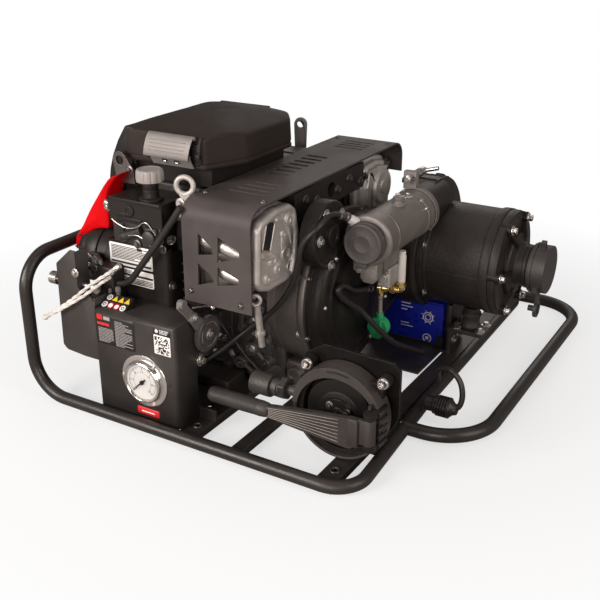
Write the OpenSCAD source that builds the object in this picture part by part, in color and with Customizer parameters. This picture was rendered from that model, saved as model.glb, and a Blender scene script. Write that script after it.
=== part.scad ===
// Portable fire pump: a two cylinder V engine drives a multistage pump through a belt, all
// carried in a tube frame with a control panel, a battery and a hand primer.
// x runs left to right, y front to back (front is negative), z up from the ground at 0.

/* [Base frame] */
// outside diameter of the base tube
tube_d = 20; // [16:1:28]
// outside diameter of the right carrying loop
loop_d = 22; // [18:1:30]
// height of the base tube centre line above the ground
tube_z = 11; // [10:0.5:16]
// bend radius of the base tube
bend_r = 60; // [45:1:80]
// bend radius of the two right hand corners
corner_r = 45; // [40:1:60]
// height of the left carrying hoop centre line
hoop_z = 236; // [180:1:300]
// half length of the base, front to back, at tube centres
half_y = 391; // [360:1:420]
// left hoop centre plane
left_x = -337.5; // [-360:0.5:-320]
// right loop centre line
right_x = 336.5; // [320:0.5:350]
// holes in the cross bars for bolting the base down
foot_hole_d = 9; // [6:0.5:12]

/* [Engine] */
// crankshaft centre, front to back
crank_y = -88; // [-110:1:-60]
// crankshaft centre height
crank_z = 167; // [150:1:190]
// bank angle of each cylinder from the vertical
bank_angle = 45; // [30:1:50]
// journal radius of the crankshaft
journal_r = 20; // [16:0.5:24]
// cylinder bore
bore_d = 78; // [70:1:86]
// thickness of the guard sheet
guard_t = 3; // [2:0.5:4]
// right edge of the guard
guard_x1 = 44; // [30:1:55]
// left edge of the guard
guard_x0 = -72; // [-90:1:-60]
// top of the guard
guard_z = 357; // [340:1:370]

/* [Pump] */
// pump shaft centre, front to back
pump_y = 105; // [90:1:120]
// pump shaft centre height
pump_z = 187; // [170:1:205]
// outside radius of the barrel
barrel_r = 87; // [80:1:95]
// radius of the pump shaft
shaft_r = 9; // [7:0.5:12]
// outside radius of the suction neck
suction_r = 34; // [28:0.5:40]
// bore radius of the suction neck
suction_bore = 26; // [20:0.5:30]
// delivery centre line, left to right
outlet_x = 129; // [120:1:140]
// delivery centre line height
outlet_z = 275; // [260:1:290]
// outside radius of the delivery body
outlet_r = 37; // [32:0.5:42]
// bore radius of the delivery body
outlet_bore = 27; // [22:0.5:30]

/* [Hand primer] */
// primer axis, left to right
primer_x = 178; // [160:1:190]
// primer axis height
primer_z = 84; // [75:1:95]
// outside radius of the primer arch
primer_r = 70; // [60:1:75]

/* [Panel] */
// left edge of the instrument panel
panel_x0 = -208; // [-230:1:-190]
// right edge of the instrument panel
panel_x1 = -57; // [-80:1:-40]
// front face of the instrument panel
panel_y = -380; // [-390:1:-360]
// top of the instrument panel
panel_z = 180; // [150:1:200]
// gauge centre, left to right
gauge_x = -118; // [-150:1:-90]
// gauge centre height
gauge_z = 81; // [60:1:110]

/* [Hidden] */
$fn = 64;
gap = 0.4; // clearance between neighbouring pieces

// ---------------------------------------------------------------- basic shapes
module box(x0, x1, y0, y1, z0, z1)
  translate([x0, y0, z0]) cube([x1 - x0, y1 - y0, z1 - z0]);

// cylinders along x, y and z
module cyl_x(x0, x1, y, z, r)
  translate([x0, y, z]) rotate([0, 90, 0]) cylinder(h = x1 - x0, r = r);
module cyl_y(y0, y1, x, z, r)
  translate([x, y1, z]) rotate([90, 0, 0]) cylinder(h = y1 - y0, r = r);
module cyl_z(z0, z1, x, y, r)
  translate([x, y, z0]) cylinder(h = z1 - z0, r = r);

// outline of [y, z] points, from x0 to x1
module prism_x(x0, x1, outline)
  translate([x0, 0, 0]) rotate([90, 0, 90]) linear_extrude(x1 - x0) polygon(outline);
// outline of [x, z] points, from y0 to y1
module prism_y(y0, y1, outline)
  translate([0, y1, 0]) rotate([90, 0, 0]) linear_extrude(y1 - y0) polygon(outline);

// cylinders on the main axes
module on_crank(x0, x1, r) cyl_x(x0, x1, crank_y, crank_z, r);
module on_pump(x0, x1, r) cyl_x(x0, x1, pump_y, pump_z, r);
module on_outlet(y0, y1, r) cyl_y(y0, y1, outlet_x, outlet_z, r);
module on_primer(y0, y1, r) cyl_y(y0, y1, primer_x, primer_z, r);
module on_gauge(y0, y1, r) cyl_y(y0, y1, gauge_x, gauge_z, r);

// children turned about the crankshaft or the pump shaft
module around_crank(angle) translate([0, crank_y, crank_z]) rotate([angle, 0, 0]) children();
module around_pump(angle) translate([0, pump_y, pump_z]) rotate([angle, 0, 0]) children();

// ---------------------------------------------------------------- tubes and hoses
function unit(v) = v / norm(v);
// angles of the rotation whose columns are u, v, w
function turn_to(u, v, w) = abs(u[2]) > 0.99999
  ? (u[2] < 0 ? [atan2(v[0], v[1]), 90, 0] : [atan2(-v[0], v[1]), -90, 0])
  : [atan2(v[2], w[2]), -asin(u[2]), atan2(u[1], u[0])];
// half the change of direction at corner b of the path a, b, c
function half_turn(a, b, c) = acos(unit(b - a) * unit(c - b)) / 2;
// distance from corner b to the start of its bend
function setback(a, b, c, r) = r * tan(half_turn(a, b, c));

module rod(start, end, d) {
  v = end - start;
  translate(start)
    rotate([0, acos(v[2] / norm(v)), atan2(v[1], v[0])]) cylinder(h = norm(v), d = d);
}

module bend(a, b, c, r, d) {
  along = unit(b - a);
  leaving = unit(c - b);
  inward = unit(leaving - (leaving * along) * along);
  centre = b - along * setback(a, b, c, r) + inward * r;
  translate(centre) rotate(turn_to(-inward, along, cross(-inward, along)))
    rotate_extrude(angle = 2 * half_turn(a, b, c)) translate([r, 0]) circle(d = d);
}

// tube along points with a bend radius at each; radius 0 means a plain ball joint or an
// open end. Legs stop just short of each joint, which a slightly larger ball covers.
module tube(points, radii, d, closed = false) {
  trim = 0.03;
  n = len(points);
  function before(i) = points[(i + n - 1) % n];
  function after(i) = points[(i + 1) % n];
  setbacks = [for (i = [0 : n - 1])
    radii[i] == 0 ? 0 : setback(before(i), points[i], after(i), radii[i])];
  union() {
    for (i = [0 : closed ? n - 1 : n - 2]) {
      next = (i + 1) % n;
      along = unit(points[next] - points[i]);
      start = points[i] + along * setbacks[i];
      end = points[next] - along * setbacks[next];
      rod(start + along * (closed || i > 0 ? trim : 0),
        end - along * (closed || i < n - 2 ? trim : 0), d);
      if (closed || i > 0) joint_ball(start, d);
      if (radii[next] > 0) joint_ball(end, d);
    }
    for (i = [0 : n - 1]) if (radii[i] > 0) bend(before(i), points[i], after(i), radii[i], d);
  }
}
module joint_ball(place, d) translate(place) rotate([35, 20, 50]) sphere(d = d + 0.12);

// hose or cable along points: straight runs joined by balls
module hose(points, d) union() {
  trim = 0.6;
  last = len(points) - 1;
  for (i = [0 : last - 1]) {
    along = unit(points[i + 1] - points[i]);
    rod(points[i] + along * (i == 0 ? 0 : trim),
      points[i + 1] - along * (i == last - 1 ? 0 : trim), d);
  }
  for (i = [1 : last - 1]) translate(points[i]) sphere(d = d + 0.7);
}

// ---------------------------------------------------------------- frame
bar_top = 12;      // top of the flat cross bars
right_bar_x0 = 176;
right_bar_x1 = 206;
right_bar_y1 = half_y - 8;
hoop_bend_r = 55;
handle_bend_r = 85;
handle_front_y = -197;

// corners of the base tube and its left hoop
front_right = [238.5, -half_y, tube_z];
side_right = [220, -100, tube_z];
rear_right = [210, half_y, tube_z];
rear_left = [left_x, half_y, tube_z];
hoop_rear = [left_x, half_y, hoop_z];
hoop_front = [left_x, -half_y, hoop_z];
front_left = [left_x, -half_y, tube_z];

module base_frame() color("#2a2522") difference() {
  union() {
    tube([front_right, side_right, rear_right, rear_left, hoop_rear, hoop_front, front_left],
      [corner_r, 0, corner_r, bend_r, hoop_bend_r, hoop_bend_r, bend_r], tube_d, closed = true);
    for (edges = [[-190, -160], [-60, -30], [33, 53]])
      box(edges[0], edges[1], -half_y, half_y, 0, bar_top);
    box(right_bar_x0, right_bar_x1, -half_y, right_bar_y1, 0, bar_top);
  }
  for (x = [-175, -45, 191], y = [-352, 340]) cyl_z(-1, 13, x, y, foot_hole_d / 2);
}

module right_handle() color("#2a2522") difference() {
  handle_z = tube_z + 1;
  rear_y = half_y - 1;
  socket_d = tube_d + 2 * gap;
  rear_setback = setback(side_right, rear_right, rear_left, corner_r);
  tube([[226, handle_front_y, handle_z], [right_x, handle_front_y, handle_z],
    [right_x, rear_y, handle_z], [204, rear_y, handle_z]],
    [0, handle_bend_r, handle_bend_r, 0], loop_d);
  // room for the base tube and the right cross bar
  rod(front_right, side_right, socket_d);
  bend(side_right, rear_right, rear_left, corner_r, socket_d);
  rod(side_right,
    rear_right + unit(side_right - rear_right) * (rear_setback - gap), socket_d);
  box(right_bar_x0 - gap, right_bar_x1 + gap, 370, right_bar_y1 + gap, -1, bar_top + gap);
}

module engine_plate() color("#262220") difference() {
  x0 = -232;
  x1 = -28;
  y0 = -330;
  y1 = 110;
  top = 17.6;
  lip = 4;
  union() {
    box(x0, x1, y0, y1, bar_top + gap, top);
    box(x0, x1, y0, y0 + lip, top, 30);
    box(x0, x1, y1 - lip, y1, top, 30);
  }
  for (x = [-200, -60], y = [-300, 80]) cyl_z(10, 20, x, y, 5.5);
  for (x = [-175, -45], y = [-150, -30]) cyl_z(10, 20, x, y, 5);
  box(-160, -100, -300, -200, 10, 20);
}

// ---------------------------------------------------------------- engine
front = -1;
rear = 1;
function bank_x(side) = side == front ? -58 : -98;
jug_z = 104;       // crankcase deck, measured along the cylinder axis
crank_end_r = journal_r - 6;
fan_case_x0 = -312;

// place in the front or rear bank, local z along the cylinder axis
module in_bank(side)
  translate([0, crank_y, crank_z]) rotate([-side * bank_angle, 0, 0]) children();

// round bosses on the crankcase front: [x, z, radius, reach in front of the crankshaft]
case_bosses = [[-30, 112, 15, 104], [-66, 96, 12, 100], [-20, 80, 9, 100], [-44, 140, 9, 108]];

module crankcase() color("#4a4542") difference() {
  union() {
    box(-200, -9, crank_y - 84, crank_y + 84, 46, 229);
    box(-190, -20, crank_y - 96, crank_y + 96, 30, 76);
    // feet
    for (x = [-190, -60], y = [crank_y - 90, crank_y + 60]) box(x, x + 30, y, y + 30, 18, 31);
    // cylinder decks
    for (side = [front, rear])
      in_bank(side) box(bank_x(side) - 50, bank_x(side) + 50, -56, 56, 40, jug_z);
    on_crank(-214, -199, 70);
    // casting ribs and bosses on the front
    for (x = [-30, -58, -150]) box(x, x + 6, crank_y - 96, crank_y - 80, 60, 213);
    for (boss = case_bosses)
      cyl_y(crank_y - boss[3], crank_y - 80, boss[0], boss[1], boss[2]);
  }
  on_crank(-190, -30, 62);
  on_crank(-220, 0, journal_r + 0.05);
  for (side = [front, rear])
    in_bank(side) translate([bank_x(side), 0, 30]) cylinder(h = 80, r = bore_d / 2 + 5);
}

// finned cylinder centred on x
module barrel_jug(x) difference() {
  base = jug_z + gap;
  union() {
    translate([x, 0, base]) cylinder(h = 70, r = 47);
    for (i = [0 : 6]) translate([x - 49, -54, 107 + 9.4 * i]) cube([98, 108, 3.6]);
    translate([x - 49, -56, base]) cube([98, 112, 4]);
    for (i = [-1, 1], j = [-1, 1]) translate([x + i * 38, j * 42, base]) cylinder(h = 70, r = 7);
  }
  translate([x, 0, 100]) cylinder(h = 80, r = bore_d / 2);
}

module cylinders() color("#3c3836")
  for (side = [front, rear]) in_bank(side) barrel_jug(bank_x(side));

// finned head centred on x
module head_casting(x) difference() {
  union() {
    translate([x - 48, -50, jug_z + 70 + 2 * gap]) cube([96, 100, 7]);
    translate([x - 40, -42, 180]) cube([80, 84, 20]);
    for (i = [0 : 2]) translate([x - 48, -50, 184 + 6 * i]) cube([96, 100, 2.6]);
    translate([x - 34, -34, 199]) cube([68, 68, 9]);
  }
  translate([x, 0, 170]) cylinder(h = 14, r = bore_d / 2 - 2);
  translate([x - 20, 0, 170]) cylinder(h = 50, r = 6);
}

module heads() color("#55504c")
  for (side = [front, rear]) in_bank(side) head_casting(bank_x(side));

// port covers, drawn for the front bank: [y, z]
cover_outline = [[-320, 244], [-317, 326], [-308, 335], [-267, 344], [-228, 342], [-214, 332],
  [-205, 298], [-208, 263], [-222, 231], [-243, 226], [-288, 226], [-306, 232]];
cover_window = [[-283, 329], [-264, 323], [-281, 287], [-299, 294]];
// y on the given side; the rear is mirrored about the crankshaft, 5 further forward
function cover_y(side, y) = side == front ? y : 2 * crank_y - y - 5;

module port_cover(side) {
  outline = [for (p = cover_outline) [cover_y(side, p[0]), p[1] - (side == front ? 0 : 2)]];
  centre = [cover_y(side, -262), 286];
  // the front cover stands proud of the guard edge
  face_x = side == front ? 47 : 35;
  difference() {
    union() {
      prism_x(12, face_x, outline);
      prism_x(8, 12.5, outline);
    }
    // recess inside the rim
    prism_x(face_x - 4, face_x + 1, [for (p = outline)
      [centre[0] + 0.88 * (p[0] - centre[0]), centre[1] + 0.9 * (p[1] - centre[1])]]);
    prism_x(face_x - 21, face_x + 5, [for (p = cover_window) [cover_y(side, p[0]), p[1]]]);
    cyl_x(5, 50, cover_y(side, -228), 246, 5);
  }
}

module port_cover_front() color("#b9b3ad") union() {
  port_cover(front);
  cyl_x(30, 46, -276, 270, 12);
  cyl_x(30, 46, -250, 310, 9);
}

module port_cover_rear() color("#b9b3ad") union() {
  port_cover(rear);
  // stepped discs
  for (i = [0 : 2]) cyl_x(25, 37 + 2.4 * i, 92, 288, 44 - 11 * i);
}

module muffler() color("#5b544f") difference() {
  union() {
    box(-62, 34, crank_y - 55, crank_y + 55, 303, 348);
    box(9, 35, crank_y - 110, crank_y + 110, 304, 346);
  }
  box(-59, 6, crank_y - 52, crank_y + 52, 306, 345);
  cyl_x(20, 40, crank_y, 326, 12);
}

guard_front = -332;
guard_rear = 155;
guard_r = 28;      // radius of the upper corners
// openings in the guard front: [x, z]
guard_openings = [
  [[-44, 312], [-17, 291], [-17, 285], [-45, 279]],
  [[-10, 312], [25, 296], [25, 286], [-12, 274]],
  [[-46, 267], [-19, 249], [-19, 243], [-47, 233]],
  [[-12, 267], [23, 255], [23, 246], [-13, 239]]];

// arch with rounded upper corners, drawn in by inset
module guard_solid(x0, x1, inset) {
  y0 = guard_front + guard_r;
  y1 = guard_rear - guard_r;
  z = guard_z - guard_r;
  union() {
    box(x0, x1, guard_front + inset, guard_rear - inset, 150, z);
    box(x0, x1, y0, y1, guard_z - 40, guard_z - inset);
    for (y = [y0, y1]) cyl_x(x0, x1, y, z, guard_r - inset);
  }
}

module top_slot(x0, x1, y, width) box(x0, x1, y, y + width, guard_z - 10, guard_z + 5);

module heat_guard() color("#5c5350") difference() {
  guard_solid(guard_x0, guard_x1, 0);
  guard_solid(guard_x0 - 1, guard_x1 + 1, guard_t);
  box(-100, 100, -340, -300, 140, 205);
  box(-100, 100, 100, 160, 140, 302);
  for (opening = guard_openings) prism_y(-340, -320, opening);
  for (i = [0 : 3]) top_slot(-44 + 4 * i, 20 - 3 * i, -262 + 18 * i, 5);
  for (i = [0 : 6]) top_slot(-46, -8, -150 + 20 * i, 9);
  for (i = [0 : 3]) top_slot(-40, 16, 52 + 15 * i, 5);
  cyl_y(-340, -320, 26, 216, 3.4);
}

module crankshaft() color("#8d8883") union() {
  on_crank(-318, 84, crank_end_r);
  on_crank(-236, 40, journal_r);
  // two throws: a pair of cheeks and a pin each
  for (x = [-150, -74]) {
    on_crank(x, x + 16, 44);
    on_crank(x + 26, x + 42, 44);
    cyl_x(x + 15, x + 27, crank_y, crank_z + 20, 18);
  }
}

module fan() color("#3a3a3c") difference() {
  union() {
    on_crank(-262, -250, 92);
    on_crank(-300, -250, 34);
    for (angle = [0 : 30 : 330])
      around_crank(angle) translate([-288, -3, 52]) cube([27, 5, 38]);
  }
  on_crank(-301, -249, crank_end_r + gap);
  on_crank(-301, -286, 26);
}

module fan_housing() color("#242120") difference() {
  union() {
    on_crank(fan_case_x0, -216, 108);
    box(fan_case_x0, -216, crank_y - 100, crank_y + 100, 34, 150);
    box(fan_case_x0, -236, crank_y - 150, crank_y + 150, 180, 262);
  }
  on_crank(-308, -236, 100);
  on_crank(-320, -300, 62);
  on_crank(-240, -215, 72);
  box(-306, -242, crank_y - 144, crank_y + 144, 186, 256);
  // slots low in the left face
  for (z = [52 : 14 : 94]) box(-320, -300, crank_y - 70, crank_y + 70, z, z + 6);
}

// outline of the red shroud: [x, z]
red_outline = [[-313, 250], [-312, 262], [-290, 312], [-240, 352], [-208, 367], [-222, 352],
  [-236, 333], [-240, 300], [-240, 262], [-268, 268], [-296, 262]];

module red_shroud() color("#e50010") union() {
  prism_y(-300, -276, red_outline);
  box(fan_case_x0, -240, -277, -238.6, 264, 300);
}

module front_shroud() color("#1d1a19") difference() {
  union() {
    box(-226, -122, -318, -244, 172, 268);
    box(-122, -112, -308, -244, 178, 262);
    cyl_z(172, 268, -122, -308, 10);
  }
  box(-222, -124, -314, -240, 168, 264);
  box(-221, -130, -322, -300, 273, 280);
}

filler_x = -143;
filler_y = -309;
neck_top = 367;

module filler_box() color("#1b1918") difference() {
  union() {
    box(-211, -112, -326, -256, 303, 339);
    cyl_z(338, neck_top, filler_x, filler_y, 11);
    cyl_z(338, 342, filler_x, filler_y, 17);
  }
  cyl_z(345, 370, filler_x, filler_y, 8);
}

module filler_cap() color("#8f8a84") union() {
  difference() {
    cyl_z(neck_top + gap, 385.6, filler_x, filler_y, 20.2);
    // grip grooves
    for (angle = [0 : 30 : 330])
      translate([filler_x, filler_y, 366]) rotate([0, 0, angle])
        translate([22, 0, 0]) cylinder(h = 17, r = 3);
  }
  cyl_z(358, 368, filler_x, filler_y, 7.6);
}

// ---------------------------------------------------------------- air cleaner
air_split_z = 379; // joint between the base and the cover

module air_base() color("#211e1d") difference() {
  union() {
    box(-246, -76, -250, -50, 352, air_split_z);
    box(-170, -112, crank_y - 20, crank_y + 20, 272, 353);
    cyl_x(-206, -150, crank_y, 306, 20);
  }
  box(-238, -84, -242, -58, 362, 385);
  cyl_z(270, 380, -140, crank_y, 12);
}

module air_element() color("#c9c2a8") difference() {
  box(-226, -96, -232, -66, 363, 412);
  box(-196, -122, -204, -94, 355, 400);
}

// the cover is where its plan, its front view and its side view overlap
module cover_solid(inset) {
  left = -268 + inset;
  right = -51 - inset;
  front_y = -261 + inset;
  rear_y = -40 - inset;
  bottom = 352;
  top = 447 - inset;
  intersection() {
    translate([0, 0, 300]) linear_extrude(200) polygon([
      [right, -200], [-75 - inset / 2, front_y], [-225, front_y], [left, -228],
      [left, -70], [-240, rear_y], [-70, rear_y], [right, -66]]);
    prism_y(-300, 0, [
      [left, bottom], [left, 384], [-255 + inset, 420 - inset], [-215, 438 - inset],
      [-150, top], [-100, 441 - inset], [right, 423 - inset], [right, bottom]]);
    prism_x(-300, 0, [
      [front_y, bottom], [front_y, 419 - inset], [-225, 435 - inset],
      [-150, top], [-90, 444 - inset], [rear_y, 428 - inset], [rear_y, bottom]]);
  }
}

module air_cover() color("#1e1b1a") difference() {
  intersection() {
    cover_solid(0);
    box(-300, 0, -300, 0, air_split_z + gap, 460);
  }
  cover_solid(2.6);
  box(-178, -92, -262, -250, 384, 392);
}

// section of the bent latch strip: [y, z]
latch_outline = [[-264, 426.4], [-268, 424.6], [-275, 414], [-278, 400], [-276, 392],
  [-268, 384], [-263, 380], [-262, 381.5], [-266, 386], [-272, 393], [-274.5, 400],
  [-272, 412], [-266.5, 421], [-264, 422]];

module latch_front() color("#a9a39d") union() {
  prism_x(-174, -94, latch_outline);
  cyl_x(-174, -94, -265, 424, 2.4);
}

// upright eye with a shank reaching down from its centre
module ring_eye(place, angle, outer_r, hole_r, thickness, shank)
  translate(place) rotate([0, 0, angle]) {
    half_width = outer_r * 0.62;
    difference() {
      union() {
        cyl_y(-thickness / 2, thickness / 2, 0, 0, outer_r);
        box(-half_width, half_width, -thickness / 2, thickness / 2, -shank, 0);
      }
      cyl_y(-thickness, thickness, 0, 0, hole_r);
    }
  }

module lifting_eyes() color("#b0aaa4") {
  difference() {
    union() {
      ring_eye([-86, -302, 367], 20, 16.5, 9, 8, 38);
      box(-98, -78, -306, -268.4, 318, 330);
    }
    box(-120, -40, -330, -250, 250, 318.5);
  }
  ring_eye([-229, -271, 379], 0, 12, 6.5, 4, 34);
  ring_eye([-123, 84, 380], 25, 11, 6, 5, 80);
}

// ---------------------------------------------------------------- drive
case_x0 = 60;      // joint between the bell housing and the belt case
case_x1 = 84;      // joint between the belt case and its cover
case_crank_r = 125;
case_pump_r = 70;
bell_bolt_angles = [20 : 45 : 340];
idler_y = -178;
idler_z = 286;
idler_r = 52;
drive_r = 60;      // running radii of the two pulleys
driven_r = 40;

module bell_housing() color("#3b3634") difference() {
  union() {
    on_crank(-6, case_x0, 127);
    on_crank(52, case_x0, 131);
    for (angle = bell_bolt_angles) around_crank(angle) cyl_x(44, 59.5, 0, 122, 10);
  }
  on_crank(0, 61, 119);
  on_crank(-7, 10, journal_r + 2);
  for (angle = bell_bolt_angles) around_crank(angle) cyl_x(40, 70, 0, 126, 3.2);
}

// flat sides of the case between both shafts: [y, z]
flank = [[-100, 286], [-60, 286], [100, 256], [130, 240],
  [130, 140], [92, 118.5], [-50, 50], [-100, 50]];

module case_body(x0, x1, inset) union() {
  on_crank(x0, x1, case_crank_r - inset);
  on_pump(x0, x1, case_pump_r - inset);
  prism_x(x0, x1, [for (p = flank) [p[0], p[1] + (p[1] > 180 ? -inset : inset)]]);
}

module belt_case() color("#191716") difference() {
  union() {
    case_body(case_x0 + gap, case_x1, 0);
    cyl_x(case_x0 + gap, 86, idler_y, idler_z, idler_r);
    // hexagon heads on the round upper boss
    for (angle = [0, 90, 180])
      translate([0, idler_y, idler_z]) rotate([angle, 0, 0]) cyl_x(85, 89, 0, 40, 5, $fn = 6);
  }
  case_body(65, 86, 5);
  on_crank(50, 90, journal_r + 2);
  on_pump(50, 90, 30);
}

module belt_cover() color("#161413") difference() {
  union() {
    case_body(case_x1 + gap, 88, 0);
    on_crank(case_x1 + gap, 89.4, 96);
  }
  on_pump(80, 90, shaft_r + 12);
  on_crank(80, 88, 28);
  cyl_x(80, 92, idler_y, idler_z, idler_r + gap);
}

// pulley drum with a flange at each side
module flanged_drum(y, z, r) {
  flange_r = r + 6;
  cyl_x(66, 68.5, y, z, flange_r);
  cyl_x(68, 80.5, y, z, r);
  cyl_x(80, 82.5, y, z, flange_r);
}

module drive_pulley() color("#77726d") difference() {
  union() flanged_drum(crank_y, crank_z, drive_r);
  on_crank(60, 90, crank_end_r + gap);
  for (angle = [0 : 60 : 300]) around_crank(angle) cyl_x(60, 90, 0, 38, 10);
}

module pump_pulley() color("#77726d") difference() {
  union() flanged_drum(pump_y, pump_z, driven_r);
  on_pump(60, 90, shaft_r + gap / 2);
}

// open belt around both pulleys
span = norm([pump_y - crank_y, pump_z - crank_z]);
lean = atan2(pump_z - crank_z, pump_y - crank_y);
wrap = asin((drive_r - driven_r) / span);

// filled belt outline, grown by offset_r, with its straight runs sunk a little
module belt_loop(offset_r, height) {
  near_r = drive_r + gap + offset_r;
  far_r = driven_r + gap + offset_r;
  near_x = near_r * sin(wrap);
  far_x = span + far_r * sin(wrap);
  near_y = (near_r - 0.3) * cos(wrap);
  far_y = (far_r - 0.3) * cos(wrap);
  union() {
    cylinder(h = height, r = near_r);
    translate([span, 0, 0]) cylinder(h = height, r = far_r);
    linear_extrude(height)
      polygon([[near_x, near_y], [far_x, far_y], [far_x, -far_y], [near_x, -near_y]]);
  }
}

module belt() color("#141212")
  translate([69, crank_y, crank_z]) rotate([lean, 0, 0]) rotate([90, 0, 90]) difference() {
    belt_loop(4, 10.5);
    translate([0, 0, -1]) belt_loop(0, 13);
  }

// ---------------------------------------------------------------- pump
stages = [154 : 25 : 229];       // left face of each impeller
barrel_x0 = 140;
barrel_x1 = 262;
flange_angles = [30 : 60 : 330]; // bolts of the suction head
flange_bolt_r = 80;
tether_z = 114;
clamp_x = 119;                   // clamp screw centre
clamp_z = 331;

module bearing_housing() color("#2b2725") difference() {
  union() {
    on_pump(88 + gap, 99.6, 52);
    on_pump(85, 89, 20);
  }
  on_pump(80, 104, shaft_r + 0.05);
}

module pump_shaft() color("#a8a29c") union() {
  on_pump(66.5, 256, shaft_r);
  on_pump(256, 268, 6);
}

// two shrouds, a hub and straight blades per stage
module impellers() color("#b08d57") for (x = stages) difference() {
  union() {
    on_pump(x, x + 3, 62);
    on_pump(x + 10, x + 13, 62);
    on_pump(x, x + 16, 18);
    for (angle = [0 : 60 : 300]) around_pump(angle) translate([x + 2, -2, 14]) cube([9, 4, 46]);
  }
  on_pump(x - 4, x + 20, shaft_r + 0.05);
}

module diffusers() color("#8f877e") for (x = stages) difference() {
  union() {
    on_pump(x + 17.5, x + 21, 79.6);
    on_pump(x + 17.5, x + 23.5, 70);
    for (angle = [0 : 45 : 315])
      around_pump(angle) translate([x + 12, -1.5, 66]) cube([7, 3, 13]);
  }
  on_pump(x + 6, x + 36, shaft_r + 4);
}

module volute() color("#201c1b") difference() {
  union() {
    on_pump(100, barrel_x0, 100);
    cyl_x(101, 139, pump_y, pump_z + 14, 112);
    on_outlet(33, 112, outlet_r - 1);
    on_outlet(26.6, 34, outlet_r + 1);
    box(101, 139, 60, 110, 240, 306);
  }
  on_pump(139.6, 200, barrel_r + 5);
  // flat underside over the battery, and room for the delivery body
  box(90, 150, 0, 220, 60, 97);
  on_outlet(-30, 26.2, outlet_r + 1.5);
  on_pump(106, 141, 80);
  on_pump(95, 145, shaft_r + 6);
  // passage to the delivery
  difference() {
    cyl_y(20, 104, outlet_x - 7, outlet_z - 3, 22);
    on_pump(136, 200, 98);
  }
}

module barrel() color("#1d1a19") difference() {
  union() {
    on_pump(barrel_x0 + gap, barrel_x1, barrel_r);
    on_pump(barrel_x0 + gap, 149, barrel_r + 4);
    on_pump(252, barrel_x1, barrel_r + 2);
    // thin rib along the front
    box(150, 254, pump_y - barrel_r - 1.6, pump_y - barrel_r + 6, pump_z - 7, pump_z - 4.6);
  }
  on_pump(barrel_x0, barrel_x1 + 1, barrel_r - 7);
}

// rib between the suction neck and the flange: [x, z]
neck_rib = [[0, 8], [8, 8], [14, 12], [14, 20], [7, 40], [0, 48]];

module suction_head() color("#1d1a19") difference() {
  union() {
    on_pump(barrel_x1 + gap, 276, barrel_r + 1);
    on_pump(275, 283, 52);
    on_pump(275, 309, suction_r);
    for (angle = flange_angles) around_pump(angle) {
      translate([275, 0, 30]) prism_y(-3.5, 3.5, neck_rib);
      cyl_x(barrel_x1 + gap, barrel_x1 + gap + 19, 0, flange_bolt_r, 9.5);
    }
  }
  on_pump(barrel_x1, 270, 70);
  on_pump(260, 320, suction_bore);
}

module flange_bolts() color("#c2bcb5")
  for (angle = flange_angles) around_pump(angle) difference() {
    union() {
      cyl_x(282, 283.6, 0, flange_bolt_r, 8);
      cyl_x(282, 289.5, 0, flange_bolt_r, 5.6, $fn = 6);
    }
    cyl_x(287, 291, 0, flange_bolt_r, 2.6);
  }

module suction_cap() color("#2c2826") difference() {
  union() {
    on_pump(310, 338, 40);
    on_pump(288, 312, suction_bore - 1);
    on_pump(313, 317, 42);
    for (angle = [10, 130]) around_pump(angle) box(322, 330, -5, 5, 38, 50);
  }
  on_pump(285, 330, suction_bore - 5);
}

module tether() color("#2b2726") difference() {
  union() {
    cyl_x(320, 325, pump_y, tether_z, 14);
    box(320, 325, pump_y - 5, pump_y + 5, 118, 146.4);
    cyl_x(309, 321, pump_y, tether_z, 5);
  }
  cyl_x(322, 326, pump_y, tether_z, 9);
}

module discharge_body() color("#b3aca5") difference() {
  union() {
    on_outlet(-146, 25, outlet_r);
    on_outlet(-146, -136, outlet_r + 2.5);
    on_outlet(12, 26, outlet_r + 1);
    box(outlet_x - 10, outlet_x + 10, -128, -50, 214, 245);
    box(outlet_x - 14, outlet_x + 14, -140, -118, 206, 240);
    cyl_z(300, 318, outlet_x + 8, -58, 8);
  }
  on_outlet(-150, 60, outlet_bore);
  on_outlet(-20, 27, outlet_bore + 4);
  cyl_z(200, 250, outlet_x, -56, 4);
  on_pump(100, 270, 105);
}

module discharge_cap() color("#57514d") union() {
  on_outlet(-163, -148, 30);
  on_outlet(-149, -130, outlet_bore - 1);
  on_outlet(-165.5, -162, 26);
  box(outlet_x - 12, outlet_x + 4, -160, -148, 236, 250);
}

module check_flap() color("#8e6b3f") union() {
  on_outlet(16, 20, outlet_bore - 2);
  cyl_x(outlet_x - 11, outlet_x + 11, 18, outlet_z + 26.5, 2.4);
  on_outlet(20, 23, 16);
}

module clamp_band() color("#57514d") difference() {
  union() {
    on_outlet(21, 32, outlet_r + 3.2);
    box(108, 130, 21, 32, 312, 341);
  }
  on_outlet(10, 60, outlet_r + 1.5);
  cyl_y(10, 60, clamp_x, clamp_z, 4.3);
  on_pump(100, 270, 104);
}

module t_handle() color("#9a948e") union() {
  cyl_y(8, 76, clamp_x, clamp_z, 4);
  translate([clamp_x, 71, clamp_z]) rotate([0, -16, 0]) cyl_x(-29, 29, 0, 0, 3.4);
  // collars: [rear and front y]
  for (ends = [[66, 76], [33, 38], [10, 19.6]]) cyl_y(ends[0], ends[1], clamp_x, clamp_z, 6.5);
}

module drain_fitting() color("#d7b24a") union() {
  // block under the delivery
  difference() {
    box(outlet_x - 10, outlet_x + 10, -84, -34, 176, 213.6);
    cyl_y(-90, -30, outlet_x, 196, 4);
  }
  // riser, elbow ball, cross pipe with a collar, and the pipe down from it
  elbow = [142, -46, 165];
  rod([142, -46, 166], [142, -46, 228], 10);
  translate(elbow) sphere(6.5);
  rod(elbow, [98, -56, 165], 9);
  rod([122, -50.6, 165], [112, -52.9, 165], 14);
  rod([110, -53.2, 165], [110, -53.2, 122], 9);
  box(132, 144, -50, -42, 184, 200);
}

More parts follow.
